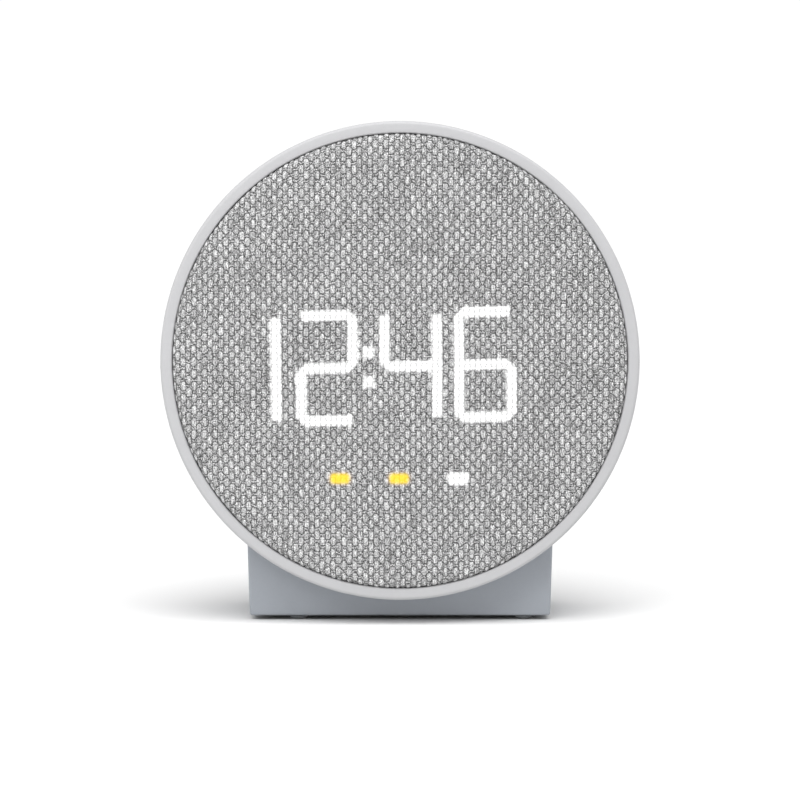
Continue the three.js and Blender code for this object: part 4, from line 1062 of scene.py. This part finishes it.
def battery_tray():
    """A drawer with a round pocket for the cell and a slot for a fingernail."""
    low, high, middle = span("battery_drawer")
    coin_low, coin_high, coin = span("coin_cell")
    width, depth, thickness = high - low
    above = high.z + MM
    outline = rounded_outline((middle.x, middle.y), (width, depth), TRAY_CORNER)
    tray = prism("battery_tray", outline, low.z, high.z, "Z")
    pocket = circle_outline((coin.x, coin.y), (coin_high.x - coin_low.x) / 2 + FIT, 128)
    nail_slot = circle_outline((coin.x, high.y + width / 10), width / 5)
    cut(tray, [
        prism("cutter", pocket, coin_low.z - FIT, above, "Z"),
        prism("cutter", nail_slot, high.z - thickness / 3, above, "Z"),
    ])
    soften(tray, 0.18 * MM, 2)
    dress(tray, "rim_plastic", "battery_drawer", "battery_tray")


def button_cell():
    low, high, place = span("coin_cell")
    inner = (high.x - low.x) / 2 - CELL_EDGE
    shoulder = low.z + CELL_STEP
    profile = [
        (0, low.z), (inner - 0.8 * MM, low.z), (inner - 0.7 * MM, shoulder),
        *arc((inner, shoulder + CELL_EDGE), CELL_EDGE, -90, 0, 4),
        *arc((inner, high.z - CELL_EDGE), CELL_EDGE, 0, 90, 4), (0, high.z),
    ]
    cell = turned("button_cell", profile, (place.x, place.y, 0), "Z", 128)
    dress(cell, "bright_steel", "coin_cell", "battery_tray")


# ---- Screws ----
HEAD_RADIUS = 2.5 * MM
SHANK_RADIUS = 1.2 * MM
THREAD_PITCH = 0.9 * MM
THREAD_DEPTH = 0.25 * MM
SLOT_ARMS = ((1.05 * HEAD_RADIUS, 0.75 * MM), (0.75 * MM, 1.05 * HEAD_RADIUS))


def screw(node, up):
    """A pan-head screw with a cross recess. up is the way that its head faces."""
    low, high, middle = span(node)
    length = abs((high - low).dot(Vector(up)))
    top = length / 2
    neck = top - HEAD_THICKNESS
    thread = []
    for i in range(int((length - HEAD_THICKNESS - SHANK_RADIUS) / THREAD_PITCH)):
        base = neck - 0.3 * MM - i * THREAD_PITCH
        thread += [(SHANK_RADIUS - THREAD_DEPTH, base), (SHANK_RADIUS, base - THREAD_PITCH / 2)]
    profile = [
        (0, top), (HEAD_RADIUS * 0.55, top - 0.05 * MM), (HEAD_RADIUS * 0.82, top - 0.28 * MM),
        (HEAD_RADIUS, top - 0.75 * MM), (HEAD_RADIUS, neck), (SHANK_RADIUS, neck), *thread, (0, -top),
    ]
    obj = turned(node + "_piece", profile, (0, 0, 0), "Z", 48, 30)
    arms = [rounded_outline((0, 0), size, 0.12 * MM, 2) for size in SLOT_ARMS]
    cut(obj, [prism("cutter", arm, top - 0.9 * MM, top + MM, "Z") for arm in arms])
    obj.data.transform(Vector((0, 0, 1)).rotation_difference(Vector(up)).to_matrix().to_4x4())
    obj.data.transform(Matrix.Translation(middle))
    smooth(obj, 30)
    dress(obj, "screw_steel", node)


# ---- Stand ----
STAND_EDGE = 0.9 * MM
STAND_WALL = 2.4 * MM
SADDLE_GAP = 0.35 * MM
STAND_TAPER = math.radians(1.7)
FOOT_FACE = 2.15 * MM  # radius of the flat that rests on the table
FOOT_STEM = 1.8 * MM


def tapered_block(name, inset, low_z, high_z):
    """The stand's block drawn in on its sides, leaning out going up as the CAD's does."""
    vertices = []
    for z in (low_z, high_z):
        half = stand_high.x - (stand_high.z - z) * math.tan(STAND_TAPER) - inset
        for x, y in ((-half, stand_low.y + inset), (half, stand_low.y + inset),
                     (half, stand_high.y - inset), (-half, stand_high.y - inset)):
            vertices.append((x, y, z))
    faces = [[0, 3, 2, 1], [4, 5, 6, 7]] + [[i, (i + 1) % 4, 4 + (i + 1) % 4, 4 + i] for i in range(4)]
    return mesh_object(name, vertices, faces)


def saddle(name, radius, beyond):
    front, back = stand_low.y - 3 * MM, BACK_Y + beyond
    rounding = arc((radius - BACK_FILLET, back - BACK_FILLET), BACK_FILLET, 0, 90, 8)
    profile = [(0, front), (radius, front), *rounding, (0, back)]
    return turned(name, profile, (0, 0, AXIS_Z), sides=DRUM_SIDES)


def stand():
    obj = tapered_block("stand_block", 0, stand_low.z, stand_high.z)
    soften(obj, STAND_EDGE, 4)
    hollow = tapered_block("hollow", STAND_WALL, stand_low.z - MM, stand_high.z - STAND_WALL)
    cut(hollow, [saddle("roof", DRUM_RADIUS + SADDLE_GAP + STAND_WALL, SADDLE_GAP + STAND_WALL)])
    cut(obj, [hollow, saddle("saddle", DRUM_RADIUS + SADDLE_GAP, SADDLE_GAP)])
    smooth(obj, 30)
    dress(obj, "stand_plastic", "stand_shell")


def foot(node):
    low, high, place = span(node)
    radius, dome = (high.x - low.x) / 2, stand_low.z - FIT
    turns = [math.radians(t) for t in range(0, 91, 15)]
    rounds = [(FOOT_FACE + (radius - FOOT_FACE) * math.sin(t), dome * (1 - math.cos(t))) for t in turns]
    profile = [(0, 0), *rounds, (radius, dome), (FOOT_STEM, dome), (FOOT_STEM, high.z), (0, high.z)]
    obj = turned(node + "_dome", profile, (place.x, place.y, 0), "Z", 48)
    dress(obj, "foot_rubber", node)


# ---- Inner CAD nodes keep their shapes and get their own materials ----
def dress_inner_nodes():
    slots = {row["node"]: row["material_slot"] for row in frame["record"]["subparts"]}
    for name, obj in frame["nodes"].items():
        obj.data.materials.clear()
        obj.data.materials.append(materials[slots[name]])


# ---- Room ----
HORIZON_SKY = 1.03
UPPER_SKY = 0.65
SKY_FADE = (0.1, 0.35)  # heights of direction between which the one turns into the other
FLOOR_HALF = 4
FLOOR_TONE = 0.79
ABOVE_LIGHT = 2.35
FRONT_LIGHT = 1.15
FRONT_PLACE = Vector((-0.26, -0.42, 0.42))
FRONT_TARGET = Vector((0, 0, 0.1))


def studio():
    world = bpy.data.worlds.new("studio")
    bpy.context.scene.world = world
    world.use_nodes = True
    sky = world.node_tree
    place = sky.nodes.new("ShaderNodeTexCoord").outputs["Generated"]
    axes = sky.nodes.new("ShaderNodeSeparateXYZ")
    sky.links.new(place, axes.inputs[0])
    fade = sky.nodes.new("ShaderNodeMapRange")
    fade.interpolation_type = "SMOOTHSTEP"
    sky.links.new(axes.outputs["Z"], fade.inputs["Value"])
    set_range(fade, *SKY_FADE, HORIZON_SKY, UPPER_SKY)
    sky.links.new(fade.outputs["Result"], sky.nodes["Background"].inputs["Strength"])
    sky.nodes["Background"].inputs["Color"].default_value = WHITE

    corners = [(x * FLOOR_HALF, y * FLOOR_HALF, 0) for x, y in ((-1, -1), (1, -1), (1, 1), (-1, 1))]
    floor = mesh_object("floor", corners, [[0, 1, 2, 3]], closed=False)
    graph = Graph("white_sweep")
    graph.set(Base_Color=(FLOOR_TONE, FLOOR_TONE, FLOOR_TONE, 1), Roughness=0.9, Specular_IOR_Level=0.0)
    floor.data.materials.append(graph.material)

    above = aimed_light("above", "SUN", (0.12, -0.43, 1.0), ABOVE_LIGHT)
    above.data.angle = math.radians(46)
    front = aimed_light("front", "AREA", FRONT_PLACE - FRONT_TARGET, FRONT_LIGHT)
    front.location = FRONT_PLACE
    front.data.shape = "RECTANGLE"
    front.data.size, front.data.size_y = 0.35, 0.3


def aimed_light(name, kind, toward, power):
    """A light that shines from the direction toward."""
    light = bpy.data.lights.new(name, kind)
    light.energy = power
    obj = link(bpy.data.objects.new(name, light))
    obj.rotation_euler = Vector(toward).to_track_quat("Z", "Y").to_euler()
    return obj


def main():
    bpy.context.scene.view_settings.view_transform = "Standard"
    add_camera()
    studio()
    dress_inner_nodes()
    fabric_face()
    drum()
    snooze_key()
    rear_panel()
    for name in BUTTONS:
        push_button(name)
    slide_knob()
    power_inlet()
    dress(refined("usb_socket", "usb_port", 0.12 * MM), "bright_steel", "usb_port")
    battery_tray()
    button_cell()
    for i in range(1, 5):
        screw(f"cover_screw_{i}", (0, 1, 0))
    for i in range(1, 3):
        screw(f"floor_screw_{i}", (0, 0, -1))
    stand()
    dress(refined("floor_plate", "stand_floor", 0.2 * MM), "black_plastic", "stand_floor")
    for side in ("front_left", "front_right", "rear_left", "rear_right"):
        foot("foot_" + side)


main()
